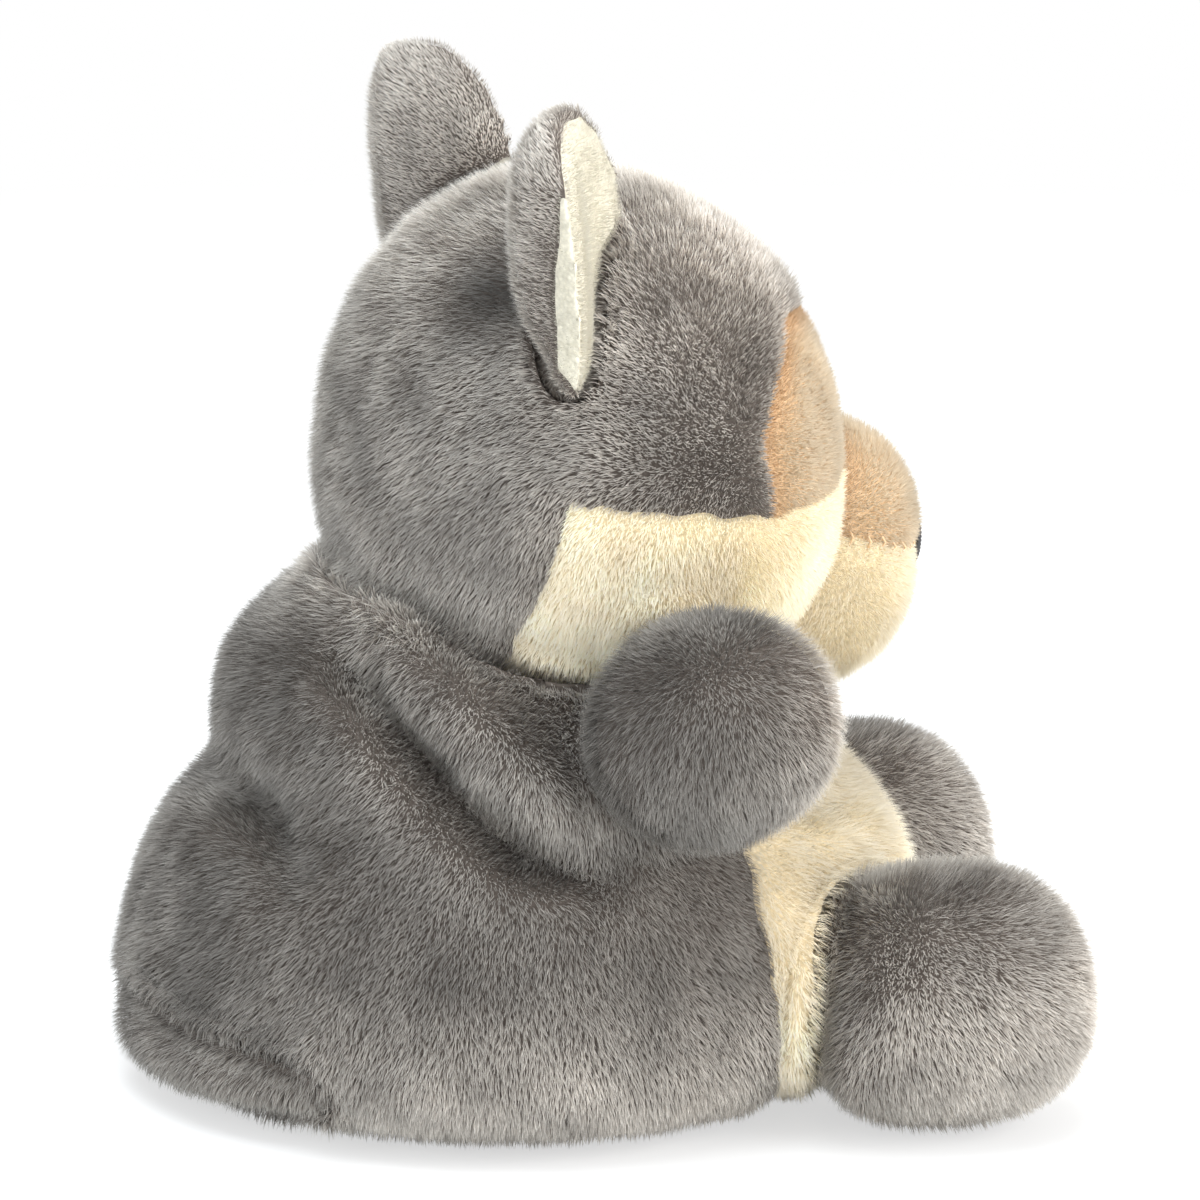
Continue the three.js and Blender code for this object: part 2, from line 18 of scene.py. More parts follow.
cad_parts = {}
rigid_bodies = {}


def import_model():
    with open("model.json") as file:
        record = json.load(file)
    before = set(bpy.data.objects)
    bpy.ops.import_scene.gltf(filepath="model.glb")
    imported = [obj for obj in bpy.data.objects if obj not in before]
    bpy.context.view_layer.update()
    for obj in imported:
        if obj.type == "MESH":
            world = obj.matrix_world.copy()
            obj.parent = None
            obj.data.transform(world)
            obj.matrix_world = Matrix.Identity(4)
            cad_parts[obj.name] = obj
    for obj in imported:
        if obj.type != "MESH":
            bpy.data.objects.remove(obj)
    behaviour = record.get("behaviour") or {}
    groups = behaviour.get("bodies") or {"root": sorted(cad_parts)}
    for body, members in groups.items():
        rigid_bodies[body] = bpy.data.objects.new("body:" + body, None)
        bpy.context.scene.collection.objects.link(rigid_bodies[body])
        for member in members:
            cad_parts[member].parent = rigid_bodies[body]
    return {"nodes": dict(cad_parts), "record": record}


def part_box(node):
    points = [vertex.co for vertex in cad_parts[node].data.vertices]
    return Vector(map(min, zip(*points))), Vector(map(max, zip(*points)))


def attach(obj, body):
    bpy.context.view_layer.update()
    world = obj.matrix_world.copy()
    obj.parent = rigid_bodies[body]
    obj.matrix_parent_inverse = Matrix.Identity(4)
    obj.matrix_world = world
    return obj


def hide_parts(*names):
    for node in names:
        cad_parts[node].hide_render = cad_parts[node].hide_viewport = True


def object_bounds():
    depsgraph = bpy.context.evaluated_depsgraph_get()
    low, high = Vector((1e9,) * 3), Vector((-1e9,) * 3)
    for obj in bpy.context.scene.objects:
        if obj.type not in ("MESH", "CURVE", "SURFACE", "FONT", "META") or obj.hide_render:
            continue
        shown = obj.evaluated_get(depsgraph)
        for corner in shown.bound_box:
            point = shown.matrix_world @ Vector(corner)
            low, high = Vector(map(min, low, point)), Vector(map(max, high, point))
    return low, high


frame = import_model()
cad_low, cad_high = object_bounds()
mm = 0.001
print("solids:", len(frame["nodes"]), "box in mm:", [round(side / mm, 1) for side in cad_high - cad_low])

# %% [markdown]
# ## Camera
# The picture was taken from the wolf's right, a little from behind and above, with a long lens. A camera can
# be aimed with a constraint, but three axes worked out from two angles say more plainly where it stands.

# %% Camera
view_azimuth = math.radians(262)
view_elevation = math.radians(14)
camera_distance = 900 * mm
picture_width = 151.5 * mm  # how much of the object's plane the picture takes in
aim_across = 10.7 * mm
aim_up = 57.95 * mm

across = Vector((math.cos(view_azimuth), math.sin(view_azimuth), 0))
towards_camera = Vector((across.y, -across.x, 0)) * math.cos(view_elevation)
towards_camera.z = math.sin(view_elevation)
upward = towards_camera.cross(across)

camera = bpy.data.objects.new("camera", bpy.data.cameras.new("camera"))
camera.data.lens = camera.data.sensor_width * camera_distance / picture_width
camera_place = across * aim_across + upward * aim_up + towards_camera * camera_distance
camera_turn = Matrix((across, upward, towards_camera)).transposed()
camera.matrix_world = Matrix.Translation(camera_place) @ camera_turn.to_4x4()
bpy.context.scene.collection.objects.link(camera)
bpy.context.scene.camera = camera
bpy.context.scene.view_settings.view_transform = "Standard"
print("lens in mm:", round(camera.data.lens, 1))


# %% [markdown]
# ## Building node trees
# Materials, the world and Geometry Nodes are all node trees, and writing them out link by link hides what
# they do. One helper adds a node, sets its properties, and takes each input either as a value or as a link.
# The others stand for the few nodes that come up again and again.

# %% Node helpers
def add_node(tree, kind, inputs=None, **properties):
    node = tree.nodes.new(kind)
    for name, value in properties.items():
        setattr(node, name, value)
    for name, value in (inputs or {}).items():
        socket = node.inputs[name]
        if isinstance(value, bpy.types.NodeSocket):
            tree.links.new(value, socket)
        else:
            socket.default_value = value
    return node


def mapped(tree, value, low, high, start=0.0, end=1.0):
    """Turns a value between start and end into one between low and high."""
    span = {"Value": value, "From Min": start, "From Max": end, "To Min": low, "To Max": high}
    return add_node(tree, "ShaderNodeMapRange", span).outputs[0]


def object_spot(tree):
    return add_node(tree, "ShaderNodeTexCoord").outputs["Object"]


def linear(red, green, blue):
    """A colour as it looks on screen, from 0 to 255, turned into the linear values that shaders take."""
    shares = np.array((red, green, blue)) / 255
    curve = np.where(shares <= 0.04045, shares / 12.92, ((shares + 0.055) / 1.055) ** 2.4)
    return (*curve.tolist(), 1.0)


def two_tones(tree, factor, dark, pale):
    """A node that picks a colour between two."""
    tones = add_node(tree, "ShaderNodeValToRGB", {"Fac": factor})
    tones.color_ramp.elements[0].color = linear(*dark)
    tones.color_ramp.elements[1].color = linear(*pale)
    return tones


def new_finish(name):
    """A material, its tree, and the shader that it starts with."""
    finish = bpy.data.materials.new(name)
    finish.use_nodes = True
    return finish, finish.node_tree, finish.node_tree.nodes["Principled BSDF"]


# %% [markdown]
# ## Light and floor
# A white sweep in a studio lights the toy evenly from all round. Four broad lamps model it: a warm one in
# front, a plain one beside it, and cool ones above and behind. The world gives the even part. Its camera
# rays are plain white, so that the backdrop is white without more light on the toy. The floor is paper that
# keeps a soft shadow near the toy and gives more light of its own further out, so that it runs into the
# backdrop.

# %% World
sky_strength = 0.9
white = (1, 1, 1, 1)

world = bpy.data.worlds.new("white_sweep")
world.use_nodes = True
sky = world.node_tree
sky.nodes.clear()
rays = add_node(sky, "ShaderNodeLightPath").outputs
seen = rays["Is Camera Ray"]
for kind in ("Is Glossy Ray", "Is Transmission Ray"):
    seen = add_node(sky, "ShaderNodeMath", {0: seen, 1: rays[kind]}, operation="MAXIMUM").outputs[0]
strength = add_node(sky, "ShaderNodeMix", {"Factor": seen, "A": sky_strength, "B": 1.0}).outputs["Result"]
glow = add_node(sky, "ShaderNodeBackground", {"Color": white, "Strength": strength})
add_node(sky, "ShaderNodeOutputWorld", {"Surface": glow.outputs["Background"]})
bpy.context.scene.world = world
print("sky strength:", sky_strength)

# %% Lamps
middle = (cad_low + cad_high) / 2


def soft_lamp(name, place, size, power, colour):
    lamp = bpy.data.lights.new(name, "AREA")
    lamp.size = size
    lamp.energy = power
    lamp.color = colour
    holder = bpy.data.objects.new(name, lamp)
    holder.location = place
    holder.rotation_euler = (middle - holder.location).to_track_quat("-Z", "Y").to_euler()
    bpy.context.scene.collection.objects.link(holder)


soft_lamp("front_lamp", (-0.62, -0.8, 0.5), size=0.6, power=11, colour=(1.0, 0.97, 0.94))
soft_lamp("side_lamp", (-1.1, -0.1, 0.22), size=0.9, power=5, colour=(1.0, 0.99, 0.97))
soft_lamp("top_lamp", (-0.2, 0.15, 1.15), size=0.8, power=17, colour=(0.9, 0.96, 1.0))
soft_lamp("back_lamp", (-0.35, 1.1, 0.45), size=0.8, power=5, colour=(0.82, 0.92, 1.0))
print("lamps:", len(bpy.data.lights))

# %% Paper finish
paper_white = (0.86, 0.86, 0.86, 1)
shadow_reach, white_reach = 0.15, 0.6  # the shadow fades out between these distances from the toy
least_own_light = 0.6

paper, paper_tree, _ = new_finish("white_paper")
paper_tree.nodes.clear()
lit = add_node(paper_tree, "ShaderNodeBsdfDiffuse", {"Color": paper_white})
bright = add_node(paper_tree, "ShaderNodeEmission", {"Color": white, "Strength": 1.0})
distance = add_node(paper_tree, "ShaderNodeVectorMath", {0: object_spot(paper_tree)}, operation="LENGTH")
own_light = mapped(paper_tree, distance.outputs["Value"], least_own_light, 1.0, shadow_reach, white_reach)
camera_ray = add_node(paper_tree, "ShaderNodeLightPath").outputs["Is Camera Ray"]
own_light = add_node(paper_tree, "ShaderNodeMath", {0: camera_ray, 1: own_light}, operation="MULTIPLY")
paper_shader = add_node(paper_tree, "ShaderNodeMixShader", {
    "Fac": own_light.outputs[0],
    1: lit.outputs["BSDF"],
    2: bright.outputs["Emission"],
})
add_node(paper_tree, "ShaderNodeOutputMaterial", {"Surface": paper_shader.outputs["Shader"]})
print("paper tree:", len(paper_tree.nodes), "nodes")

# %% Floor
floor_half = 2.0
square = ((-1, -1), (1, -1), (1, 1), (-1, 1))
floor_mesh = bpy.data.meshes.new("floor")
floor_mesh.from_pydata([(x * floor_half, y * floor_half, cad_low.z) for x, y in square], [], [(0, 1, 2, 3)])
floor_mesh.materials.append(paper)
floor = bpy.data.objects.new("floor", floor_mesh)
bpy.context.scene.collection.objects.link(floor)
print("floor side in m:", 2 * floor_half)


# %% [markdown]
# ## Stuffed skins
# A plush form is cloth pulled tight over stuffing, so it has no flats. It could be blown up by a cloth
# simulation, but the frame's solids already swell and taper as the forms do. They only have few faces, and
# they are cut into panels, covers and fillings. Remeshing the solids of one form together gives one closed
# skin, and smoothing takes its facets away.

# %% Mesh helpers
def per_vertex(mesh, what="co"):
    values = np.empty(len(mesh.vertices) * 3)
    mesh.vertices.foreach_get(what, values)
    return values.reshape(-1, 3)


def set_places(mesh, places):
    mesh.vertices.foreach_set("co", places.ravel())
    mesh.update()


def new_piece(name, mesh):
    piece = bpy.data.objects.new(name, mesh)
    bpy.context.scene.collection.objects.link(piece)
    return piece


def evaluated_copy(holder):
    """The mesh that an object's modifiers give, as plain data."""
    depsgraph = bpy.context.evaluated_depsgraph_get()
    return bpy.data.meshes.new_from_object(holder.evaluated_get(depsgraph))


def keep_largest_island(mesh):
    """Keeps the outer skin, and drops any inner shell that remeshing leaves."""
    bm = bmesh.new()
    bm.from_mesh(mesh)
    unseen = set(bm.verts)
    islands = []
    while unseen:
        edge_of_island = [unseen.pop()]
        island = list(edge_of_island)
        while edge_of_island:
            for edge in edge_of_island.pop().link_edges:
                for vert in edge.verts:
                    if vert in unseen:
                        unseen.remove(vert)
                        edge_of_island.append(vert)
                        island.append(vert)
        islands.append(island)
    islands.sort(key=len)
    bmesh.ops.delete(bm, geom=[vert for island in islands[:-1] for vert in island], context="VERTS")
    bm.to_mesh(mesh)
    bm.free()


# %% Skin helper
seam_closing = 0.5 * mm  # the solids of a form swell by this much, so that they run into one another


def stuffed_skin(nodes, voxel, rounds):
    """One closed, smooth skin round some solids."""
    bm = bmesh.new()
    for node in nodes:
        bm.from_mesh(frame["nodes"][node].data)
    bmesh.ops.remove_doubles(bm, verts=bm.verts, dist=mm / 1000)
    solids = bpy.data.meshes.new("solids")
    bm.to_mesh(solids)
    bm.free()
    holder = new_piece("solids", solids)
    closing = holder.modifiers.new("close_seams", "DISPLACE")
    closing.strength = seam_closing
    closing.mid_level = 0
    remesh = holder.modifiers.new("one_skin", "REMESH")
    remesh.mode = "VOXEL"
    remesh.voxel_size = voxel
    smooth = holder.modifiers.new("no_facets", "SMOOTH")
    smooth.iterations = rounds
    skin = evaluated_copy(holder)
    bpy.data.objects.remove(holder)
    keep_largest_island(skin)
    return skin


# %% Skins
hands = ("left", "right")
forms = {
    "torso": ["torso_cover", "belly_panel", "torso_fill", "pellet_pouch"],
    "head": ["head_crown", "muzzle_top", "muzzle_chin", "head_fill"],
    "tail": ["tail_cover", "tail_fill"],
}
for hand in hands:
    forms["head"] += [f"cheek_{hand}", f"eye_patch_{hand}"]
    forms[f"ear_{hand}"] = [f"ear_back_{hand}", f"ear_lining_{hand}"]
    forms[f"arm_{hand}"] = [f"arm_cover_{hand}", f"arm_fill_{hand}"]
    forms[f"leg_{hand}"] = [f"leg_cover_{hand}", f"leg_fill_{hand}"]

coarse_skin = {"voxel": 1.1 * mm, "rounds": 30}
fine_skin = {"voxel": 0.6 * mm, "rounds": 24}
skins = {}
for body, nodes in forms.items():
    skins[body] = stuffed_skin(nodes, **(fine_skin if body.startswith("ear") else coarse_skin))
    print(body, "skin:", len(skins[body].polygons), "faces")

# %% [markdown]
# ## Room for the pile
# The tips of the pile are what should reach the solids' surface, so the skin under it lies deeper. One
# inset for all would do for a single form. Where two forms are sewn together there is no room for pile,
# though, so there the skins stay close and the seam stays shut. The pile of the face is clipped, so its
# skin lies higher.

# %% Room helpers
def tree_of(mesh):
    """A search tree over the faces of a mesh, for rays and for nearest places."""
    places = [vert.co for vert in mesh.vertices]
    return BVHTree.FromPolygons(places, [face.vertices for face in mesh.polygons])


def room_above(skin, others):
    """How far each vertex can look out along its normal before it meets another body, up to a limit."""
    limit = 10 * mm
    start = 2 * mm  # from below the skin, since neighbours may touch
    rooms = []
    for vert in skin.vertices:
        below = vert.co - start * vert.normal
        hits = [tree.ray_cast(below, vert.normal, limit + start)[3] for tree in others]
        rooms.append(min([hit - start for hit in hits if hit is not None], default=limit))
    return np.array(rooms)


def gap_to(nodes, places):
    """How far each place is from the nearest of some solids."""
    return np.array([min(node_trees[node].find_nearest(place)[3] for node in nodes) for place in places])


def ramp(values, start, end):
    """Rises from 0 to 1 between two values, or falls where the start is the larger one."""
    return np.clip((values - start) / (end - start), 0, 1)


def near(gaps, reach):
    """1 on a line or a point, falling off softly over a reach."""
    return np.exp(-((gaps / reach) ** 2))


# %% Room
pile_depth, ear_pile_depth, seam_depth = 2.1 * mm, 0.3 * mm, 0.7 * mm
face_saving = 0.8 * mm
face_panels = ["muzzle_top", "muzzle_chin", "eye_patch_left", "eye_patch_right"]

node_trees = {node: tree_of(thing.data) for node, thing in frame["nodes"].items()}
skin_trees = {body: tree_of(skin) for body, skin in skins.items()}
rooms = {}
for body, skin in skins.items():
    rooms[body] = room_above(skin, [tree for other, tree in skin_trees.items() if other != body])
    depth = np.full(len(skin.vertices), ear_pile_depth if body.startswith("ear") else pile_depth)
    if body == "head":
        depth -= face_saving * (1 - ramp(gap_to(face_panels, per_vertex(skin)), 2 * mm, 11 * mm))
    inset = seam_depth + (depth - seam_depth) * ramp(rooms[body], 1 * mm, 5 * mm)
    set_places(skin, per_vertex(skin) - inset[:, None] * per_vertex(skin, "normal"))
    print(body, "share that faces another body:", round(float(np.mean(rooms[body] < 2 * mm)), 2))

# %% [markdown]
# ## Folds
# The seat sags over its beans, so the cloth of the back is slack. It rolls up under the head into a collar,
# with a deep valley behind the roll and a shorter one at the back, and it creases across the belly. A cloth
# simulation would find folds of its own, so these are listed and pressed in: each is a line along the cloth
# with a depth and a width, all in mm. A negative depth swells the cloth instead. That rounds the heels, and
# closes the seams under the chin, at the roots of the ears, at the hips and at the ends of the tail.

# %% Fold helpers
valley_share = 1.28
roll_share, roll_reach = 0.45, 2.3  # the rolls beside a valley, and how much wider than it they are


def along_line(points, count=60):
    """Points at even steps along a line given in mm, and how strong the fold is at each of them."""
    points = np.array(points) * mm
    steps = np.linspace(0, len(points) - 1, count)
    line = [np.interp(steps, range(len(points)), points[:, axis]) for axis in range(3)]
    return np.stack(line, axis=1), np.sin(np.pi * np.linspace(0.06, 0.94, count)) ** 0.6


def press_folds(body, folds):
    """Pushes a skin in along lines, and swells the cloth beside them."""
    skin = skins[body]
    for points, depth, width in folds:
        line, strength = along_line(points)
        places = per_vertex(skin)
        gaps = np.linalg.norm(places[:, None, :] - line[None, :, :], axis=2)
        reach = gaps.min(axis=1) / (width * mm)
        push = valley_share * near(reach, 1) - roll_share * near(reach, roll_reach)
        push *= depth * mm * strength[gaps.argmin(axis=1)]
        set_places(skin, places - push[:, None] * per_vertex(skin, "normal"))


def ease(skin, centre, reach, rounds):
    """Smooths the skin round a point given in mm, as cloth that is pulled tight lies smooth."""
    places = per_vertex(skin)
    ends = np.array([edge.vertices[:] for edge in skin.edges])
    ends = np.concatenate([ends, ends[:, ::-1]])
    neighbours = np.bincount(ends[:, 0])[:, None]
    share = near(np.linalg.norm(places - np.array(centre) * mm, axis=1), reach)[:, None]
    for _ in range(rounds):
        totals = np.zeros_like(places)
        np.add.at(totals, ends[:, 0], places[ends[:, 1]])
        places += share * (totals / neighbours - places)
    set_places(skin, places)


def mirrored(points):
    return [(-x, y, z) for x, y, z in points]


# %% Folds of the back
left_slack = 0.8  # the left side of the collar is drawn tighter than the right
collar_valley = [
    (-20, 25, 61.5), (-24, 22.5, 58.5), (-30, 19.5, 55), (-38.5, 12, 46), (-42, 4, 40), (-44, -4, 37.5),
]
collar_roll = [(-20.5, 19, 63), (-30, 14, 57.5), (-36, 8.5, 53), (-39.5, 3, 47.5), (-41, -2.5, 43.5)]
back_valley = [(22, 38, 41), (4, 41, 40.5), (-7, 39, 41), (-14, 36, 41), (-21.5, 33, 39.5), (-28, 31, 35.5)]
nape_hollow = [(-12, 28, 62), (0, 31, 62), (12, 28, 62)]

collar = [(collar_valley, 6.8, 4.0), (collar_roll, -2.4, 5.0)]
press_folds("torso", collar)
press_folds("torso", [(mirrored(line), left_slack * depth, width) for line, depth, width in collar])
press_folds("torso", [(back_valley, 5.2, 4.6), (nape_hollow, 0.8, 4.0)])
print("folds of the back:", 2 * len(collar) + 2)

# %% Ears, belly and tail
right_ear_root = [(-29, 3, 100), (-33, 3.5, 96.5), (-35.5, 2.5, 93)]
left_ear_root = [(25, 15, 100), (29, 16, 96.5), (32, 15, 93)]
press_folds("head", [(right_ear_root, -1.8, 4.0), (left_ear_root, -3.0, 4.0)])

belly_crease = [(-29, -29, 41.5), (-23, -35, 38.5), (-16, -40, 37.5), (-6, -44, 38)]
press_folds("torso", [(belly_crease, 2.0, 3.6), (mirrored(belly_crease), 2.0, 3.6)])

chin_rim = [(-17, -31.5, 55), (-12.5, -34, 54), (-8, -36.5, 52.5), (0, -39.5, 50.5)]
for corner in chin_rim[1:3]:
    ease(skins["torso"], corner, reach=8 * mm, rounds=60)
press_folds("torso", [(chin_rim, -2.6, 5.0)])

tail_root = [(7, 47, 3), (6, 47, 8), (5, 46, 13)]
tail_tip = [(-36, 32, 5), (-38, 31, 9), (-38, 30, 13)]
press_folds("torso", [(tail_root, -1.8, 4.0), (tail_tip, -1.8, 4.0)])
print("width of the head's skin in mm:", round(np.ptp(per_vertex(skins["head"])[:, 0]) / mm, 1))

# %% Feet
left_foot = {
    "hip": [(36, -30, 7), (38, -31, 17), (38, -33, 26)],
    "heel": [(52, -38, 7), (47, -34.5, 6), (41, -32, 6)],
    "instep": [(50, -40, 27), (44, -36, 28)],
}
for hand in hands:
    foot = {name: line if hand == "left" else mirrored(line) for name, line in left_foot.items()}
    press_folds(f"leg_{hand}", [
        (foot["hip"], 2.4, 6.0),
        (foot["heel"], -3.0, 6.5),
        (foot["instep"], 1.8, 6.0),
    ])
    press_folds("torso", [(foot["hip"], -2.8, 6.0)])
print("lowest point of the seat's skin in mm:", round(per_vertex(skins["torso"])[:, 2].min() / mm, 2))

# %% [markdown]
# ## Panels
# Each form is sewn from panels of different colours. Cutting the soft skins with booleans would leave
# slivers. Instead, a face of a skin belongs to the panel whose solid is nearest to it, so the seams fall
# where the frame has them, and the steps along the seams are then evened out. The lining of an ear is
# turned over its edge near the root, more on the right ear than on the left.

# %% Panel helpers
lining_laps = {"ear_lining_left": 0.9 * mm, "ear_lining_right": 2.1 * mm}
lap_start, lap_full = 127 * mm, 106 * mm  # the lap grows between these heights, from the tip of the ear down
lap_end, lap_last = 93.5 * mm, 96.5 * mm  # and it is gone again at the root


def nearest_panel(skin, panels):
    """For each face, the index of the panel whose solid is nearest."""
    centres = [face.center for face in skin.polygons]
    gaps = [[node_trees[panel].find_nearest(centre)[3] for centre in centres] for panel in panels]
    gaps = np.array(gaps)
    if panels[-1] in lining_laps:
        heights = np.array([centre.z for centre in centres])
        lap = lining_laps[panels[-1]] * ramp(heights, lap_start, lap_full) * ramp(heights, lap_end, lap_last)
        gaps[-1] -= lap
    return tidied(skin, np.argmin(gaps, axis=0))


def tidied(skin, labels, rounds=4):
    """Gives a face that has most of its sides on another panel to that panel."""
    sides = {}
    for index, face in enumerate(skin.polygons):
        for edge in face.edge_keys:
            sides.setdefault(edge, []).append(index)
    pairs = np.array([pair for pair in sides.values() if len(pair) == 2])
    pairs = np.concatenate([pairs, pairs[:, ::-1]])
    for _ in range(rounds):
        votes = np.zeros((len(labels), labels.max() + 1), int)
        np.add.at(votes, (pairs[:, 0], labels[pairs[:, 1]]), 1)
        labels = np.where(votes.max(axis=1) > 2, votes.argmax(axis=1), labels)
    return labels


# %% Seam helpers
def seam_vertices(skin, labels, first=None, second=None):
    """The vertices where two panels meet, or where two given ones do."""
    touched = {}
    for face, label in zip(skin.polygons, labels.tolist()):
        for corner in face.vertices:
            touched.setdefault(corner, set()).add(label)
    wanted = {first, second} - {None}
    return [corner for corner, found in touched.items() if len(found) > 1 and wanted <= found]


def straighten_seams(skin, labels, rounds=24):
    """Evens out the lines where panels meet. Every second round pushes back, so that no line shrinks."""
    sides = {}
    for face, label in zip(skin.polygons, labels.tolist()):
        for edge in face.edge_keys:
            sides.setdefault(edge, set()).add(label)
    beside = {}
    for (start, end), found in sides.items():
        if len(found) > 1:
            beside.setdefault(start, []).append(end)
            beside.setdefault(end, []).append(start)
    places = per_vertex(skin)
    for step in range(rounds):
        share = -0.52 if step % 2 else 0.5
        goals = {corner: places[ends].mean(axis=0) for corner, ends in beside.items() if len(ends) > 1}
        for corner, goal in goals.items():
            places[corner] += share * (goal - places[corner])
    set_places(skin, places)


# %% Seam distances
def gap_to_points(points, places):
    """How far each place is from the nearest of some points, or 1 m where there are none."""
    if len(points) == 0:
        return np.full(len(places), 1.0)
    tree = KDTree(len(points))
    for index, point in enumerate(points):
        tree.insert(point, index)
    tree.balance()
    return np.array([tree.find(place)[2] for place in places])


def panel_share(skin, chosen):
    """For each vertex, the share of its faces that are in a panel."""
    found = np.zeros((len(skin.vertices), 2))
    for face, inside in zip(skin.polygons, chosen):
        found[list(face.vertices)] += (inside, 1)
    return found[:, 0] / found[:, 1]


# %% Seams
# How far the back of an ear bows out, away from its seams.
ear_bow = {"ear_left": 0.6 * mm, "ear_right": 2.3 * mm}
bow_reach = 3 * mm
# How deep the seams of the head and of other forms are drawn in, and how far to either side.
face_seam, body_seam, seam_reach = 0.4 * mm, 0.7 * mm, 1.4 * mm

panels_of = {}
labels_of = {}
seam_gaps = {}
for body, skin in skins.items():
    panels_of[body] = [node for node in forms[body] if "fill" not in node and "pouch" not in node]
    labels_of[body] = nearest_panel(skin, panels_of[body])
    straighten_seams(skin, labels_of[body])
    places = per_vertex(skin)
    seam_gaps[body] = gap_to_points(places[seam_vertices(skin, labels_of[body])], places)
    push = (face_seam if body == "head" else body_seam) * near(seam_gaps[body], seam_reach)
    if body.startswith("ear"):
        back = panel_share(skin, labels_of[body] == 0)
        push = -ear_bow[body] * back * (1 - near(seam_gaps[body], bow_reach))
    set_places(skin, places - push[:, None] * per_vertex(skin, "normal"))
print("panels:", sum(map(len, panels_of.values())))

# %% [markdown]
# ## Nap
# Pile lies the way it was brushed. On this toy it runs back from the nose over the head, down the body and
# the paws, and towards the tips of the ears. It could be combed by hand as hair, but a rule for each form
# says the same in a line. The direction is laid along the skin, and kept at its vertices.

# %% Nap
down = np.array((0.0, 0.0, -1.0))
node_middle = {node: np.array((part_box(node)[0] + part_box(node)[1]) / 2) for node in frame["nodes"]}
nose_middle = node_middle["nose_embroidery"]


def unit(vectors):
    return vectors / np.maximum(np.linalg.norm(vectors, axis=1, keepdims=True), 1e-9)


def brushed(body, places):
    """The way the pile is brushed at each place, before it is laid along the skin."""
    if body == "head":
        far_back = ramp(places[:, 1:2], -6 * mm, 24 * mm)
        jowl = ramp(places[:, 2:], 84 * mm, 72 * mm) * ramp(places[:, 1:2], -36 * mm, -16 * mm)
        droop = 0.15 + 1.1 * far_back + 1.2 * jowl
        return unit(places - nose_middle) + droop * down
    if body.startswith("ear"):
        root = node_middle[f"ear_back_{body.split('_')[1]}"] + 30 * mm * down
        return unit(places - root) + np.array((0, 0.7, 0))
    if body.startswith("arm"):
        return down + 0.5 * unit(places - node_middle["torso_fill"]) * (1, 1, 0)
    if body.startswith("leg"):
        return down + np.array((0, -0.55, 0))
    return down + 0.3 * unit(places * (1, 1, 0))


def laid_along(skin, ways):
    """Lays directions flat along the skin."""
    normals = per_vertex(skin, "normal")
    return unit(ways - normals * np.sum(ways * normals, axis=1, keepdims=True))


print("middle of the nose in mm:", np.round(nose_middle / mm, 1))


# %% [markdown]
# ## Pile
# The pile is what the eye sees: hundreds of thousands of fine fibres. Hair curves would be lost in the
# export, so each fibre is a thin tapering blade that bends over. Geometry Nodes scatter points over a panel,
# turn a blade to the nap at each of them with some wander, and vary its length and tone.

# %% One fibre
crook, tip = (0.13, 0.46), (0.45, 0.92)  # forward and up, at the bend and at the tip
fibre_mesh = bpy.data.meshes.new("fibre")
fibre_mesh.from_pydata([(0, 0, 0), (-0.5, *crook), (0.5, *crook), (0, *tip)], [], [(0, 2, 1), (1, 2, 3)])
fibre_mesh.attributes.new("along", "FLOAT", "POINT").data.foreach_set("value", [0, 0.42, 0.42, 1])
fibre = bpy.data.objects.new("fibre", fibre_mesh)
print("faces of a fibre:", len(fibre_mesh.polygons))


# %% Tree helpers
def new_tree(name, inputs, output):
    """A Geometry Nodes tree with its named inputs, and their sockets inside it."""
    tree = bpy.data.node_groups.new(name, "GeometryNodeTree")
    for label, kind in inputs.items():
        tree.interface.new_socket(label, in_out="INPUT", socket_type=f"NodeSocket{kind}")
    tree.interface.new_socket(output, in_out="OUTPUT", socket_type="NodeSocketGeometry")
    return tree, tree.nodes.new("NodeGroupInput").outputs


def apply_tree(piece, tree, values):
    """Runs a tree on an object with its inputs set, and keeps the result as a plain mesh."""
    modifier = piece.modifiers.new(tree.name, "NODES")
    modifier.node_group = tree
    for item in tree.interface.items_tree:
        if item.name in values:
            modifier[item.identifier] = values[item.name]
    made = evaluated_copy(piece)
    piece.modifiers.clear()
    piece.data = made


# %% Pile tree: what it is given
pile_tree, given = new_tree("pile", {
    "Panel": "Geometry",
    "Fibre": "Object",
    "Fibres per square metre": "Float",
    "Fibre width": "Float",
    "Wander": "Float",
    "Tuft size": "Float",
    "Floor": "Float",
    "Seed": "Int",
    "Pile finish": "Material",
    "Backing finish": "Material",
}, output="Pile")


def stored(name, kind="FLOAT"):
    """A value that is kept at the vertices of the panel."""
    named = add_node(pile_tree, "GeometryNodeInputNamedAttribute", {"Name": name}, data_type=kind)
    return named.outputs["Attribute"]


def maths(operation, *values):
    return add_node(pile_tree, "ShaderNodeMath", dict(enumerate(values)), operation=operation).outputs[0]


def vectors(operation, *values):
    node = add_node(pile_tree, "ShaderNodeVectorMath", dict(enumerate(values)), operation=operation)
    return node.outputs[0]


def chance(low, high, step):
    """A random number for each fibre. The step keeps one draw apart from the next."""
    seed = maths("ADD", given["Seed"], step)
    return add_node(pile_tree, "FunctionNodeRandomValue", {2: low, 3: high, "Seed": seed}).outputs[1]


# %% Pile tree: how each fibre is turned
lean, swing = 0.28, 0.4  # how far a fibre strays from the nap, in radians
print("lean and swing in degrees:", round(math.degrees(lean)), round(math.degrees(swing)))

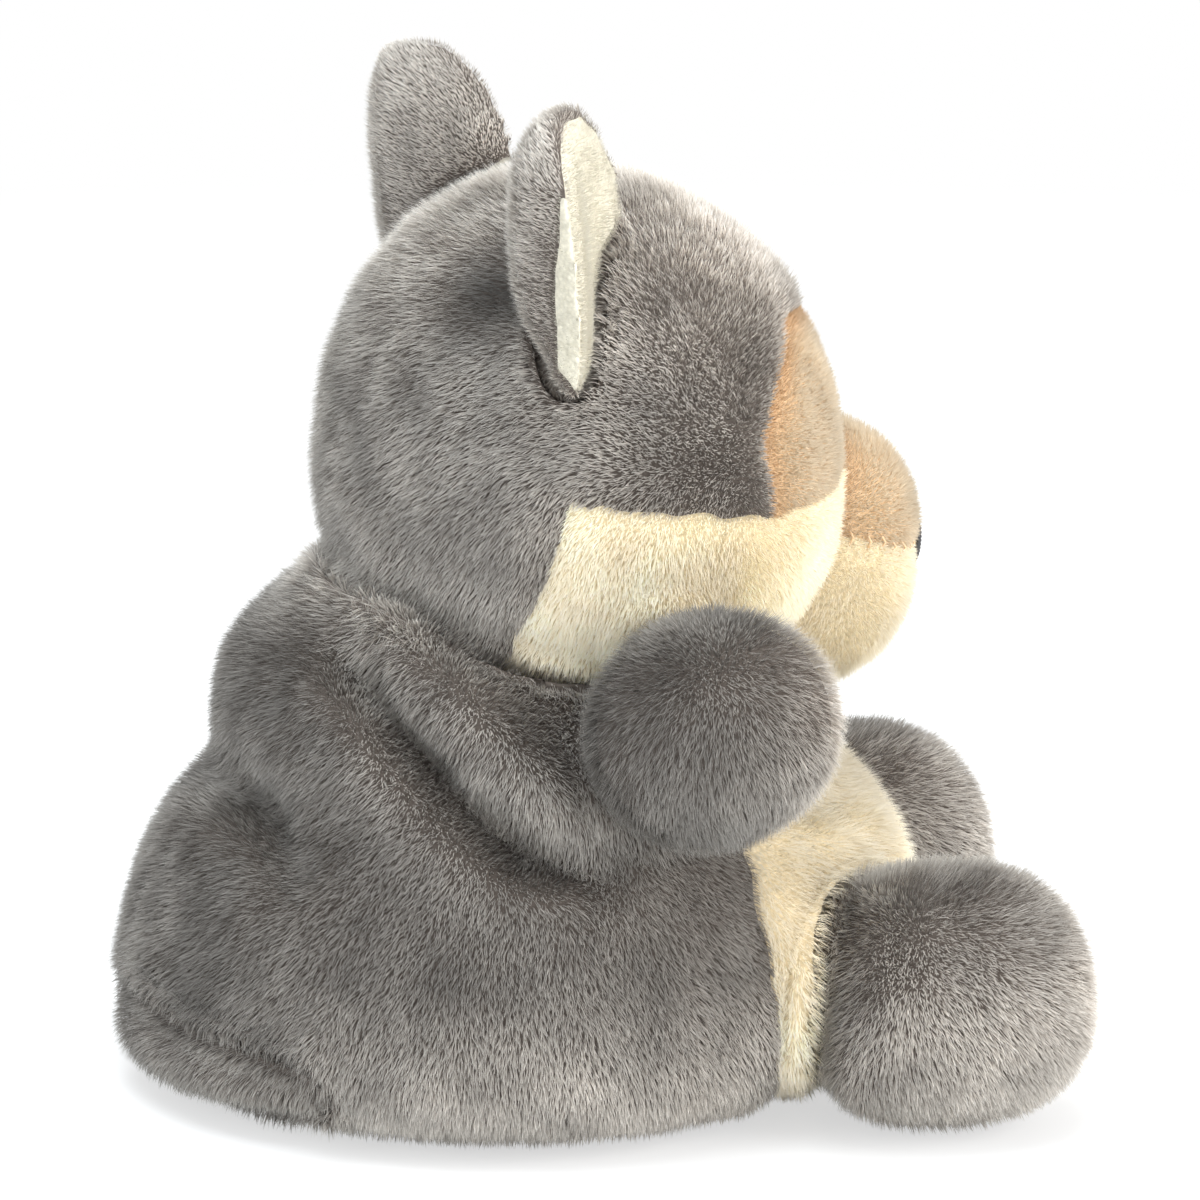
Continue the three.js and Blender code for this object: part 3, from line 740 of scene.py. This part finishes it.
fibre_density = maths("MULTIPLY", given["Fibres per square metre"], stored("pile_amount"))
scatter = add_node(pile_tree, "GeometryNodeDistributePointsOnFaces",
                   {"Mesh": given["Panel"], "Density": fibre_density, "Seed": given["Seed"]})
tuft_scale = maths("DIVIDE", 1.0, given["Tuft size"])
tufts = add_node(pile_tree, "ShaderNodeTexNoise", {"Scale": tuft_scale, "Detail": 2.0})
stray = vectors("SUBTRACT", tufts.outputs["Color"], (0.5, 0.5, 0.5))
stray = add_node(pile_tree, "ShaderNodeVectorMath", {0: stray, "Scale": given["Wander"]}, operation="SCALE")
way = vectors("ADD", stored("nap", "FLOAT_VECTOR"), stray.outputs[0])
upright = add_node(pile_tree, "FunctionNodeAxesToRotation",
                   {"Primary Axis": stored("skin_normal", "FLOAT_VECTOR"), "Secondary Axis": way},
                   primary_axis="Z", secondary_axis="Y")
jitter = add_node(pile_tree, "ShaderNodeCombineXYZ",
                  {"X": chance(-lean, lean, 1), "Z": chance(-swing, swing, 2)})
jitter = add_node(pile_tree, "FunctionNodeEulerToRotation", {"Euler": jitter.outputs[0]})
turned = add_node(pile_tree, "FunctionNodeRotateRotation",
                  {"Rotation": upright.outputs[0], "Rotate By": jitter.outputs[0]}, rotation_space="LOCAL")

# %% Pile tree: how each fibre grows
least_length, most_length = 0.62, 1.12  # shares of the length and the width that a panel asks for
least_width, most_width = 0.7, 1.3
print("lengths of fibres against what is asked for:", least_length, "to", most_length)

fibre_length = maths("MULTIPLY", stored("pile_length"), chance(least_length, most_length, 3))
fibre_size = add_node(pile_tree, "ShaderNodeCombineXYZ", {
    "X": maths("MULTIPLY", given["Fibre width"], chance(least_width, most_width, 4)),
    "Y": fibre_length,
    "Z": maths("MULTIPLY", fibre_length, stored("pile_lift")),
})
blade = add_node(pile_tree, "GeometryNodeObjectInfo", {"Object": given["Fibre"]})
planted = add_node(pile_tree, "GeometryNodeInstanceOnPoints", {
    "Points": scatter.outputs["Points"],
    "Instance": blade.outputs["Geometry"],
    "Rotation": turned.outputs[0],
    "Scale": fibre_size.outputs[0],
})
toned = add_node(pile_tree, "GeometryNodeStoreNamedAttribute",
                 {"Geometry": planted.outputs[0], "Name": "fibre_tone", "Value": chance(0.0, 1.0, 5)},
                 data_type="FLOAT", domain="INSTANCE")
real_fibres = add_node(pile_tree, "GeometryNodeRealizeInstances", {"Geometry": toned.outputs[0]})

# %% Pile tree: off the floor, and dressed
far_below = -1.0  # past any place on the toy, so that only the height is held up
lowest = add_node(pile_tree, "ShaderNodeCombineXYZ", {"X": far_below, "Y": far_below, "Z": given["Floor"]})
kept_up = vectors("MAXIMUM", add_node(pile_tree, "GeometryNodeInputPosition").outputs[0], lowest.outputs[0])
raised = add_node(pile_tree, "GeometryNodeSetPosition",
                  {"Geometry": real_fibres.outputs[0], "Position": kept_up})
furred = add_node(pile_tree, "GeometryNodeSetMaterial",
                  {"Geometry": raised.outputs[0], "Material": given["Pile finish"]})
backed = add_node(pile_tree, "GeometryNodeSetMaterial",
                  {"Geometry": given["Panel"], "Material": given["Backing finish"]})
whole = add_node(pile_tree, "GeometryNodeJoinGeometry")
for layer in (furred, backed):
    pile_tree.links.new(layer.outputs[0], whole.inputs[0])
add_node(pile_tree, "NodeGroupOutput", {"Pile": whole.outputs[0]})
print("pile tree:", len(pile_tree.nodes), "nodes")


# %% [markdown]
# ## Pile finish
# Every fibre is darker at its root, where its neighbours shade it, and paler at its tip. No two fibres are
# quite alike, and over a finger's width the dye and the lay of the nap drift too. A hair shader would need
# curves, so a plain shader lets half of the light through instead. It reads the place along the fibre, the
# fibre's own tone and the panel's painted light and shade as attributes. Deep in some seams, the crease
# colour tints it with a painted warm shade.

# %% Pile finish
drift_scale = 110.0
drift_low, drift_high = 0.3, 0.7  # nearly all of the noise lies between these
drift_gain = 1.7  # the drift is this much wider than the spread from fibre to fibre
bright_fibres, bright_gain = 0.9, 2.0  # the fibres above this tone catch the light
palest = (0.96, 0.95, 0.93)
see_through = 0.5
least_rough, most_rough = 0.55, 0.8


def attribute(tree, name):
    return add_node(tree, "ShaderNodeAttribute", attribute_name=name).outputs["Fac"]


def on_vectors(tree, operation, inputs):
    return add_node(tree, "ShaderNodeVectorMath", inputs, operation=operation).outputs[0]


def pile_finish(name, root, body, tip, spread, crease):
    finish, tree, front = new_finish(name)
    tone = attribute(tree, "fibre_tone")
    tones = two_tones(tree, attribute(tree, "along"), root, tip)
    tones.color_ramp.elements.new(0.5).color = linear(*body)
    spot = object_spot(tree)
    noise = add_node(tree, "ShaderNodeTexNoise", {"Vector": spot, "Scale": drift_scale, "Detail": 3.0})
    drift_spread = drift_gain * spread
    drift = mapped(tree, noise.outputs["Fac"], 1 - drift_spread, 1 + drift_spread, drift_low, drift_high)
    bright = mapped(tree, tone, 1.0, 1 + bright_gain * spread, start=bright_fibres)
    gain = mapped(tree, tone, 1 - spread, 1 + spread)
    # The shade attribute holds the painted light and shade of each place, or a pale panel's own tone.
    for other in (bright, drift, attribute(tree, "shade")):
        gain = add_node(tree, "ShaderNodeMath", {0: gain, 1: other}, operation="MULTIPLY").outputs[0]
    colour = on_vectors(tree, "SCALE", {0: tones.outputs["Color"], "Scale": gain})
    colour = on_vectors(tree, "MINIMUM", {0: colour, 1: palest})
    # Deep in some seams the crease colour tints the pile: a painted warm shade.
    tint = add_node(tree, "ShaderNodeMix",
                    {"Factor": attribute(tree, "crease"), "A": white, "B": (*crease, 1)}, data_type="RGBA")
    colour = on_vectors(tree, "MULTIPLY", {0: colour, 1: tint.outputs["Result"]})
    tree.links.new(colour, front.inputs["Base Color"])
    tree.links.new(mapped(tree, tone, least_rough, most_rough), front.inputs["Roughness"])
    front.inputs["Specular IOR Level"].default_value = 0.3
    through = add_node(tree, "ShaderNodeBsdfTranslucent", {"Color": colour})
    both = add_node(tree, "ShaderNodeMixShader",
                    {"Fac": see_through, 1: front.outputs["BSDF"], 2: through.outputs["BSDF"]})
    tree.links.new(both.outputs["Shader"], tree.nodes["Material Output"].inputs["Surface"])
    return finish


# %% Backing finish
def backing_finish(name, colour):
    """The knitted cloth that the pile grows from, which shows only between fibres."""
    finish, tree, shader = new_finish(name)
    knit = add_node(tree, "ShaderNodeTexVoronoi", {"Vector": object_spot(tree), "Scale": 1800.0})
    loops = knit.outputs["Distance"]
    paint = on_vectors(tree, "SCALE", {0: linear(*colour)[:3], "Scale": mapped(tree, loops, 0.9, 0.6)})
    bump = add_node(tree, "ShaderNodeBump", {"Height": loops, "Strength": 0.4, "Distance": 0.1 * mm})
    tree.links.new(paint, shader.inputs["Base Color"])
    tree.links.new(bump.outputs[0], shader.inputs["Normal"])
    shader.inputs["Roughness"].default_value = 0.95
    shader.inputs["Specular IOR Level"].default_value = 0.1
    return finish


# %% Cloths
# The crease colour of each dye is a painted warm shade, for deep in its seams.
dyes = {
    "grey": {"root": (124, 117, 111), "body": (155, 149, 142), "tip": (204, 201, 195), "spread": 0.13,
             "crease": (0.92, 0.9, 0.88)},
    "cream": {"root": (246, 234, 205), "body": (250, 242, 221), "tip": (254, 250, 240), "spread": 0.05,
              "crease": (0.93, 0.8, 0.62)},
    "tan": {"root": (214, 195, 169), "body": (221, 208, 185), "tip": (230, 222, 205), "spread": 0.07,
            "crease": (0.88, 0.64, 0.44)},
    "white": {"root": (228, 223, 207), "body": (233, 229, 215), "tip": (240, 237, 226), "spread": 0.05,
              "crease": (0.95, 0.9, 0.82)},
}
backings = {
    "grey": (108, 100, 94),
    "cream": (240, 224, 190),
    "tan": (228, 196, 158),
    "white": (240, 235, 219),
}
cloths = {}
for dye, colours in dyes.items():
    slot = f"{dye}_pile"
    cloths[slot] = (pile_finish(slot, **colours), backing_finish(f"{dye}_backing", backings[dye]))
print("cloths:", list(cloths))

# %% [markdown]
# ## Kinds of pile, and painted light and shade
# The belly has the longest pile, and the face, the cheeks and the ears are clipped shorter than the rest.
# Light and shade are painted into the colour of the pile in zones, where its fibres catch the light or are
# seen end on: a pale hem and collar, a pale top of the head, pale backs of the ears, pale rims on the paws,
# painted shade on the feet and a painted shadow behind the right ear. An image could paint them, but here
# each zone is a rise or a fall along an axis, or round a point, in mm. The seams round the muzzle and
# behind the eye patches get a painted warm shade, as the light has to pass through more pile there.

# %% Kinds of pile
slot_of = {entry["node"]: entry["material_slot"] for entry in frame["record"]["subparts"]}
body_pile = (2.6 * mm, 0.14 * mm, 15)  # length, width, and fibres on a square millimetre
special_piles = {
    "ear_back": (1.6 * mm, 0.12 * mm, 20),
    "ear_lining": (1.0 * mm, 0.12 * mm, 20),
    "muzzle": (1.9 * mm, 0.12 * mm, 20),
    "eye_patch": (1.9 * mm, 0.12 * mm, 20),
    "cheek": (2.2 * mm, 0.13 * mm, 18),
    "belly": (2.9 * mm, 0.14 * mm, 14),
}
print("kinds of pile:", 1 + len(special_piles))


def by_start(table, node, otherwise):
    """The entry of a table whose key starts the node's name."""
    return next((entry for start, entry in table.items() if node.startswith(start)), otherwise)


# %% Painted shade in creases
crease_reach = 2.2 * mm
cheeks = [f"cheek_{hand}" for hand in hands]
patches = [f"eye_patch_{hand}" for hand in hands]
# How deep the painted warm shade is along the seams of these panels.
creases = {  # how deep the tint is, and the panels that it is deep against
    "eye_patch": (0.8, ["head_crown"]),
    "muzzle_top": (0.6, cheeks + patches),
    "muzzle_chin": (0.1, cheeks),
    "cheek": (0.3, ["muzzle_top", "muzzle_chin"]),
}
print("panels with a warm crease:", list(creases))


def crease_shade_of(body, node):
    """How deep the painted warm shade of a crease lies at each vertex."""
    depth, partners = by_start(creases, node, (0, []))
    line = []
    for partner in partners:
        pair = (panels_of[body].index(node), panels_of[body].index(partner))
        line += seam_vertices(skins[body], labels_of[body], *pair)
    places = per_vertex(skins[body])
    return depth * near(gap_to_points(places[line], places), crease_reach)


# %% Painted light and shade
pale_shades = {"muzzle_chin": 0.88, "muzzle_top": 0.87, "eye_patch": 0.88, "ear_lining": 0.79}
# Middles of the painted shade on the feet and of the painted shadow behind the right ear, in mm.
painted_foot_shade = (38, 53, 27)  # on either side, so without signs
painted_ear_shadow = (-21, 3.5, 102)
print("shades of the pale panels:", pale_shades)


def grey_painted_light(body, places):
    """How much painted light or shade makes the grey pile paler or darker at each place than its cloth on
    the whole.
    """
    _, y, z = (places / mm).T
    # Painted light: a pale hem, collar, rump and nape.
    if body == "torso":
        hem = 0.55 * ramp(z, 23, 12) * ramp(y, 34, 24)
        collar = 0.36 * ramp(z, 34, 44) * ramp(y, 27, 17)
        rump = 0.12 * ramp(y, 40, 48)
        nape = 0.75 * ramp(z, 57, 64) * ramp(y, 10, 20)
        return 0.73 + hem + collar + rump + nape
    # Painted light on the front rims of the arms.
    if body.startswith("arm"):
        return 0.73 + 1.2 * ramp(y, -22, -31)
    # Painted shade on top of the feet, painted light on their front rims, and the far foot darker.
    if body.startswith("leg"):
        from_toes = np.linalg.norm((np.abs(places) / mm - painted_foot_shade) / (1, 1, 0.7), axis=1)
        foot = 1.38 - 0.6 * near(from_toes, 10) + 0.4 * ramp(y, -59, -66)
        return foot * (0.9 if body == "leg_left" else 1.0)
    # Painted light on the top of the head, and a painted shadow behind the right ear.
    if body == "head":
        from_ear = np.linalg.norm(places / mm - painted_ear_shadow, axis=1)
        top = 1.1 + 0.62 * ramp(z, 90, 107) + 0.4 * ramp(z, 98, 106) * ramp(y, 0, -14)
        return np.minimum(top, 1.95) * (1 - 0.85 * near(from_ear, 7.5))
    # Painted light on the backs of the ears, as lit from above and behind; the tail is darker.
    return np.full(len(places), 0.9 if body == "tail" else 1.62)


def tone_and_painted_light_of(body, node, places):
    """How pale each place is against its dye: painted light and shade, or one tone for a pale panel."""
    if slot_of[node] == "grey_pile":
        return grey_painted_light(body, places)
    if node == "belly_panel":
        # Painted light on the belly: paler low down and along its front.
        _, y, z = (places / mm).T
        return np.minimum(0.72 + 0.28 * ramp(z, 34, 22) + 0.2 * ramp(y, -44, -51), 1.0)
    return np.full(len(places), by_start(pale_shades, node, 1.0))


# %% [markdown]
# ## Planting the panels
# A panel is the part of a skin between its seams. It gets the pile tree as a modifier, and the result is
# kept as a plain mesh. The two largest panels are planted in several pieces, to keep each mesh small.
# Fibres could shade by their own faces, but then the pile glitters. They take most of their normals from the
# skin below, so that it shades as one soft surface. Each face has its own cell in a map named OFBake.

# %% Panel pieces
def store(mesh, name, values):
    """Keeps a value for each vertex under a name."""
    kind, field = ("FLOAT_VECTOR", "vector") if values.ndim == 2 else ("FLOAT", "value")
    mesh.attributes.new(name, kind, "POINT").data.foreach_set(field, np.ravel(values))


def cut_panel(name, skin, chosen, settings):
    """The chosen faces of a skin as an object of their own, with the pile's settings at its vertices."""
    faces = [face.vertices[:] for face, keep in zip(skin.polygons, chosen) if keep]
    used = np.unique(np.concatenate(faces))
    renumber = dict(zip(used.tolist(), range(len(used))))
    mesh = bpy.data.meshes.new(name)
    mesh.from_pydata(per_vertex(skin)[used], [], [[renumber[corner] for corner in face] for face in faces])
    mesh.shade_smooth()
    for key, values in settings.items():
        store(mesh, key, values[used])
    return new_piece(name, mesh)


# %% Planting
wander = 1.3
tuft_size = 5 * mm
lowest_pile = cad_low.z + 0.2 * mm
print("lowest tips in mm:", round(lowest_pile / mm, 1))


def plant(panel, slot, density, width, seed):
    """Grows the pile of a panel, and says how many fibres it has."""
    backing_corners = len(panel.data.vertices)
    apply_tree(panel, pile_tree, {
        "Fibre": fibre,
        "Fibres per square metre": density / mm**2,
        "Fibre width": width,
        "Wander": wander,
        "Tuft size": tuft_size,
        "Floor": lowest_pile,
        "Seed": seed,
        "Pile finish": cloths[slot][0],
        "Backing finish": cloths[slot][1],
    })
    return (len(panel.data.vertices) - backing_corners) // len(fibre_mesh.vertices)


# %% Shading and map
def soften(mesh, skin_share=0.75):
    """Lets fibres shade mostly as the skin below them does, and drops what only the tree needed."""
    skin_normals = np.empty(len(mesh.vertices) * 3)
    mesh.attributes["skin_normal"].data.foreach_get("vector", skin_normals)
    skin_normals = skin_normals.reshape(-1, 3)
    own = per_vertex(mesh, "normal")
    facing = np.sign(np.sum(own * skin_normals, axis=1, keepdims=True))
    mixed = unit(skin_share * skin_normals + (1 - skin_share) * facing * own)
    mesh.shade_smooth()
    mesh.normals_split_custom_set_from_vertices(mixed)
    for name in ("skin_normal", "nap", "pile_length", "pile_lift", "pile_amount"):
        mesh.attributes.remove(mesh.attributes[name])


def map_cells(mesh):
    """Gives every face a cell of its own in a map named OFBake."""
    chart = mesh.uv_layers.new(name="OFBake")
    starts = np.empty(len(mesh.polygons), int)
    counts = np.empty(len(mesh.polygons), int)
    mesh.polygons.foreach_get("loop_start", starts)
    mesh.polygons.foreach_get("loop_total", counts)
    columns = math.ceil(math.sqrt(len(starts)))
    faces = np.arange(len(starts))
    cells = np.stack([faces % columns, faces // columns], axis=1)
    places = np.zeros((len(mesh.loops), 2))
    for corner, spread in enumerate([(0.1, 0.1), (0.9, 0.1), (0.9, 0.9), (0.1, 0.9)]):
        has = counts > corner
        places[starts[has] + corner] = (cells[has] + spread) / columns
    chart.uv.foreach_set("vector", places.ravel())


# %% How the pile grows
hard_pieces = ["eye_left", "eye_right", "nose_embroidery"]
flat_lift = 0.12  # how far the pile stands up where the toy sits on it
seat_thinning, seam_clipping, button_clipping = 0.7, 0.3, 0.3


def growth(body, skin):
    """What the pile does at each vertex: which way it lies, and where it is short, flat or thin."""
    places = per_vertex(skin)
    normals = per_vertex(skin, "normal")
    height = places[:, 2]
    length = 1 - seam_clipping * near(seam_gaps[body], 2 * mm)
    amount = ramp(rooms[body] / mm, -1.6, 0.4)
    amount *= 1 - seat_thinning * ramp(-normals[:, 2], 0.8, 0.95) * ramp(height, 6 * mm, 4 * mm)
    if body == "head":
        gaps = gap_to(hard_pieces, places) / mm
        amount *= ramp(gaps, 0.1, 0.6)
        length *= 1 - button_clipping + button_clipping * ramp(gaps, 0.5, 2.5)
    return {
        "nap": laid_along(skin, brushed(body, places)),
        "skin_normal": normals,
        "pile_length": length,
        "pile_lift": flat_lift + (1 - flat_lift) * ramp(height - cad_low.z, 0, 3 * mm),
        "pile_amount": amount,
    }


# %% Pieces of a panel
seat_height = 24 * mm


def cuts_of(node, skin, chosen):
    """The faces of each piece that a panel is planted in."""
    left = np.array([face.center.x > 0 for face in skin.polygons])
    top = np.array([face.center.z > seat_height for face in skin.polygons])
    if node == "head_crown":
        return {"head_crown_right": chosen & ~left, "head_crown_left": chosen & left}
    if node == "torso_cover":
        return {
            "torso_cover_right": chosen & ~left & top,
            "torso_cover_left": chosen & left & top,
            "seat_cover_right": chosen & ~left & ~top,
            "seat_cover_left": chosen & left & ~top,
        }
    return {node: chosen}


# %% Plant every panel
fibre_count = 0
first_piece = {}
for seed, (body, skin) in enumerate(skins.items()):
    grown = growth(body, skin)
    for index, node in enumerate(panels_of[body]):
        length, width, density = by_start(special_piles, node, body_pile)
        slot = slot_of[node]
        settings = dict(grown, pile_length=length * grown["pile_length"])
        # Painted warm shade deep in the seams of the face.
        settings["crease"] = crease_shade_of(body, node)
        # Painted light and shade, or a pale panel's own tone.
        settings["shade"] = tone_and_painted_light_of(body, node, per_vertex(skin))
        cuts = cuts_of(node, skin, labels_of[body] == index)
        for name, faces in cuts.items():
            panel = cut_panel(f"{name}_pile", skin, faces, settings)
            fibre_count += plant(panel, slot, density, width, seed=100 * seed + index)
            soften(panel.data)
            map_cells(panel.data)
            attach(panel, body)
            if node not in first_piece:
                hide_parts(node)
                first_piece[node] = panel
            print(panel.name, len(panel.data.polygons), "faces")
print("fibres in all:", fibre_count)

# %% [markdown]
# ## Stuffing
# The fibre stuffing and the pellet pouch lie inside the sewn skins and can't be seen. The frame's solids
# could be left in place, but a soft solid is never shown, so they are hidden. The frame's solids could be
# left in place, but a soft solid is never shown, so the first panel of each form stands for them.

# %% Stuffing
for body, nodes in forms.items():
    hidden = [node for node in nodes if node not in panels_of[body]]
    if hidden:
        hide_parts(*hidden)
        print(panels_of[body][0], "stands for", hidden)

# %% [markdown]
# ## Eyes
# A safety eye is a polished button on a post, locked by a washer inside the head. Both are round about one
# axis. A squashed sphere would do for the dome, but not for the post and the rim, so the axis is read from
# the frame's two solids and the button is turned on it like a piece on a lathe. The washer's solid is right
# as it is, and only gets its plastic.

# %% Eye finish
eye_gloss, eye_tree, gloss = new_finish("eye_gloss")
haze = add_node(eye_tree, "ShaderNodeTexNoise",
                {"Vector": object_spot(eye_tree), "Scale": 900.0, "Detail": 4.0}).outputs["Fac"]
black = two_tones(eye_tree, haze, (16, 14, 13), (36, 29, 25))
eye_tree.links.new(black.outputs["Color"], gloss.inputs["Base Color"])
eye_tree.links.new(mapped(eye_tree, haze, 0.06, 0.16), gloss.inputs["Roughness"])
gloss.inputs["Specular IOR Level"].default_value = 0.2
gloss.inputs["Coat Weight"].default_value = 0.25
print("eye finish:", len(eye_tree.nodes), "nodes")


# %% Turned pieces
def corners_of(node):
    return per_vertex(frame["nodes"][node].data)


def turned_piece(name, origin, axis, profile, segments=48):
    """A closed piece made by turning a profile of (radius, height) about an axis."""
    across = np.cross(axis, (0, 0, 1))
    across /= np.linalg.norm(across)
    beside = np.cross(axis, across)
    angles = np.linspace(0, 2 * np.pi, segments, endpoint=False)
    circle = np.cos(angles)[:, None] * across + np.sin(angles)[:, None] * beside
    rings = [origin + height * axis + radius * circle for radius, height in profile]
    corners = np.arange(len(rings) * segments).reshape(len(rings), segments).tolist()
    faces = [corners[0][::-1], corners[-1]]
    for lower, upper in zip(corners, corners[1:]):
        for step in range(segments):
            after = (step + 1) % segments
            faces.append([lower[step], lower[after], upper[after], upper[step]])
    mesh = bpy.data.meshes.new(name)
    mesh.from_pydata(np.concatenate(rings), [], faces)
    mesh.shade_smooth()
    return new_piece(name, mesh)


# %% Eyes
dome_steps = 14
back_share = 0.96  # the flat back of the button against its rim
tip_radius = 0.02 * mm
for hand in hands:
    corners = corners_of(f"eye_{hand}")
    washer_middle = corners_of(f"eye_washer_{hand}").mean(axis=0)
    axis = corners.mean(axis=0) - washer_middle
    axis /= np.linalg.norm(axis)
    heights = (corners - washer_middle) @ axis
    radii = np.linalg.norm(corners - washer_middle - heights[:, None] * axis, axis=1)
    bottom, crest, radius = heights.min(), heights.max(), radii.max()
    rim = heights[radii > 0.97 * radius].mean()
    post = radii[heights < bottom + 0.2 * mm].max()
    quarter = np.linspace(0, np.pi / 2, dome_steps)[:-1]
    dome = [(radius * math.cos(angle), rim + (crest - rim) * math.sin(angle)) for angle in quarter]
    profile = [(post, bottom), (post, rim), (back_share * radius, rim), *dome, (tip_radius, crest)]
    eye = turned_piece(f"eye_button_{hand}", washer_middle, axis, profile)
    eye.data.materials.append(eye_gloss)
    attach(eye, "head")
    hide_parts(f"eye_{hand}")
    print(eye.name, "radius and rise in mm:", round(radius / mm, 2), round((crest - rim) / mm, 2))

# %% Washers
washer_plastic, washer_tree, satin = new_finish("washer_plastic")
grain = add_node(washer_tree, "ShaderNodeTexNoise", {"Vector": object_spot(washer_tree), "Scale": 700.0})
cast = two_tones(washer_tree, grain.outputs["Fac"], (222, 219, 210), (236, 234, 227))
washer_tree.links.new(cast.outputs["Color"], satin.inputs["Base Color"])
satin.inputs["Roughness"].default_value = 0.45
for hand in hands:
    washer = frame["nodes"][f"eye_washer_{hand}"]
    washer.data.materials.clear()
    washer.data.materials.append(washer_plastic)
    print(washer.name, len(washer.data.polygons), "faces")

# %% [markdown]
# ## Thread
# The nose is satin stitch: rows of thread laid side by side across the muzzle. The seam round the muzzle is
# held by small stitches. A bump in a material would be flat from the side, so each thread is drawn as a line
# of points on the cloth, and Geometry Nodes give all the lines a round section.

# %% Thread tree
thread_sides = 8
thread_inputs = {"Lines": "Geometry", "Radius": "Float", "Finish": "Material"}
thread_tree, drawn = new_tree("thread", thread_inputs, output="Threads")
curves = add_node(thread_tree, "GeometryNodeMeshToCurve", {"Mesh": drawn["Lines"]})
section = add_node(thread_tree, "GeometryNodeCurvePrimitiveCircle",
                   {"Radius": drawn["Radius"], "Resolution": thread_sides})
tubes = add_node(thread_tree, "GeometryNodeCurveToMesh",
                 {"Curve": curves.outputs[0], "Profile Curve": section.outputs["Curve"], "Fill Caps": True})
real_tubes = add_node(thread_tree, "GeometryNodeRealizeInstances", {"Geometry": tubes.outputs[0]})
dyed = add_node(thread_tree, "GeometryNodeSetMaterial",
                {"Geometry": real_tubes.outputs[0], "Material": drawn["Finish"]})
add_node(thread_tree, "NodeGroupOutput", {"Threads": dyed.outputs[0]})


def threads(name, lines, radius, finish):
    """A piece of round threads, one along each line of points."""
    edges = []
    start = 0
    for line in lines:
        edges += [(start + step, start + step + 1) for step in range(len(line) - 1)]
        start += len(line)
    mesh = bpy.data.meshes.new(name)
    mesh.from_pydata(np.concatenate(lines), edges, [])
    piece = new_piece(name, mesh)
    apply_tree(piece, thread_tree, {"Radius": radius, "Finish": finish})
    piece.data.shade_smooth()
    print(name, len(lines), "threads", len(piece.data.polygons), "faces")
    return piece


# %% Thread finish
ply_stretch = (400.0, 400.0, 4000.0)  # fine up and down, so that the plies run along a row


def thread_finish(name, dark, pale):
    finish, tree, shader = new_finish(name)
    stretch = add_node(tree, "ShaderNodeMapping", {"Vector": object_spot(tree), "Scale": ply_stretch})
    ply = add_node(tree, "ShaderNodeTexNoise", {"Vector": stretch.outputs[0], "Scale": 1.0, "Detail": 3.0})
    ply = ply.outputs["Fac"]
    bump = add_node(tree, "ShaderNodeBump", {"Height": ply, "Strength": 0.5, "Distance": 0.05 * mm})
    tree.links.new(two_tones(tree, ply, dark, pale).outputs["Color"], shader.inputs["Base Color"])
    tree.links.new(bump.outputs[0], shader.inputs["Normal"])
    shader.inputs["Roughness"].default_value = 0.45
    return finish


nose_thread = thread_finish("nose_thread", (30, 29, 32), (66, 64, 68))
seam_thread = thread_finish("seam_thread", (186, 150, 112), (214, 184, 148))
print("thread finishes:", nose_thread.name, seam_thread.name)

# %% Nose
thread_radius = 0.27 * mm
row_step = 1.7 * thread_radius  # less than a thread's width, because packed threads press into each other
row_points = 13
row_sink, end_sink = 0.15, 0.5  # in mm: how deep a row lies in the pad, and how much deeper its ends are

look = nose_middle - node_middle["head_fill"]
look[2] = 0
look /= np.linalg.norm(look)
sideways = np.cross((0, 0, 1), look)
pad = corners_of("nose_embroidery") - nose_middle
half_width = np.abs(pad @ sideways).max()
half_height = np.abs(pad[:, 2]).max()
rows = []
for height in np.arange(-half_height + thread_radius, half_height, row_step):
    reach = half_width * math.sqrt(max(0, 1 - (height / half_height) ** 2))
    row = []
    for share in np.linspace(-1, 1, row_points):
        in_front = nose_middle + share * reach * sideways + (0, 0, height) + 20 * mm * look
        hit = node_trees["nose_embroidery"].ray_cast(in_front, -look)[0]
        if hit is not None:
            row.append(np.array(hit) - look * mm * (row_sink + end_sink * abs(share) ** 8))
    if len(row) > 3:
        rows.append(np.array(row))
nose = threads("nose_threads", rows, thread_radius, nose_thread)
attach(nose, "head")
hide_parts("nose_embroidery")

# %% Muzzle stitches
stitch_radius = 0.16 * mm
stitch_spacing = 2.2 * mm
stitch_half = np.array((0, 0, 1.0 * mm))
stitch_rise, stitch_sink = 1.0 * mm, 0.8 * mm  # over the seam, and back down at both ends

head_panels = panels_of["head"]
pair = (head_panels.index("muzzle_top"), head_panels.index("muzzle_chin"))
meeting = seam_vertices(skins["head"], labels_of["head"], *pair)
seam_points = per_vertex(skins["head"])[meeting]
seam_normals = per_vertex(skins["head"], "normal")[meeting]
spokes = seam_points - node_middle["muzzle_top"]
order = np.argsort(np.arctan2(spokes @ sideways, spokes @ look))
bars = []
last = None
for point, normal in zip(seam_points[order], seam_normals[order]):
    if last is not None and np.linalg.norm(point - last) < stitch_spacing:
        continue
    last = point
    over = point + stitch_rise * normal
    end = over - stitch_sink * normal
    bars.append(np.array([end + stitch_half, over, end - stitch_half]))
stitches = threads("muzzle_stitches", bars, stitch_radius, seam_thread)
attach(stitches, "head")
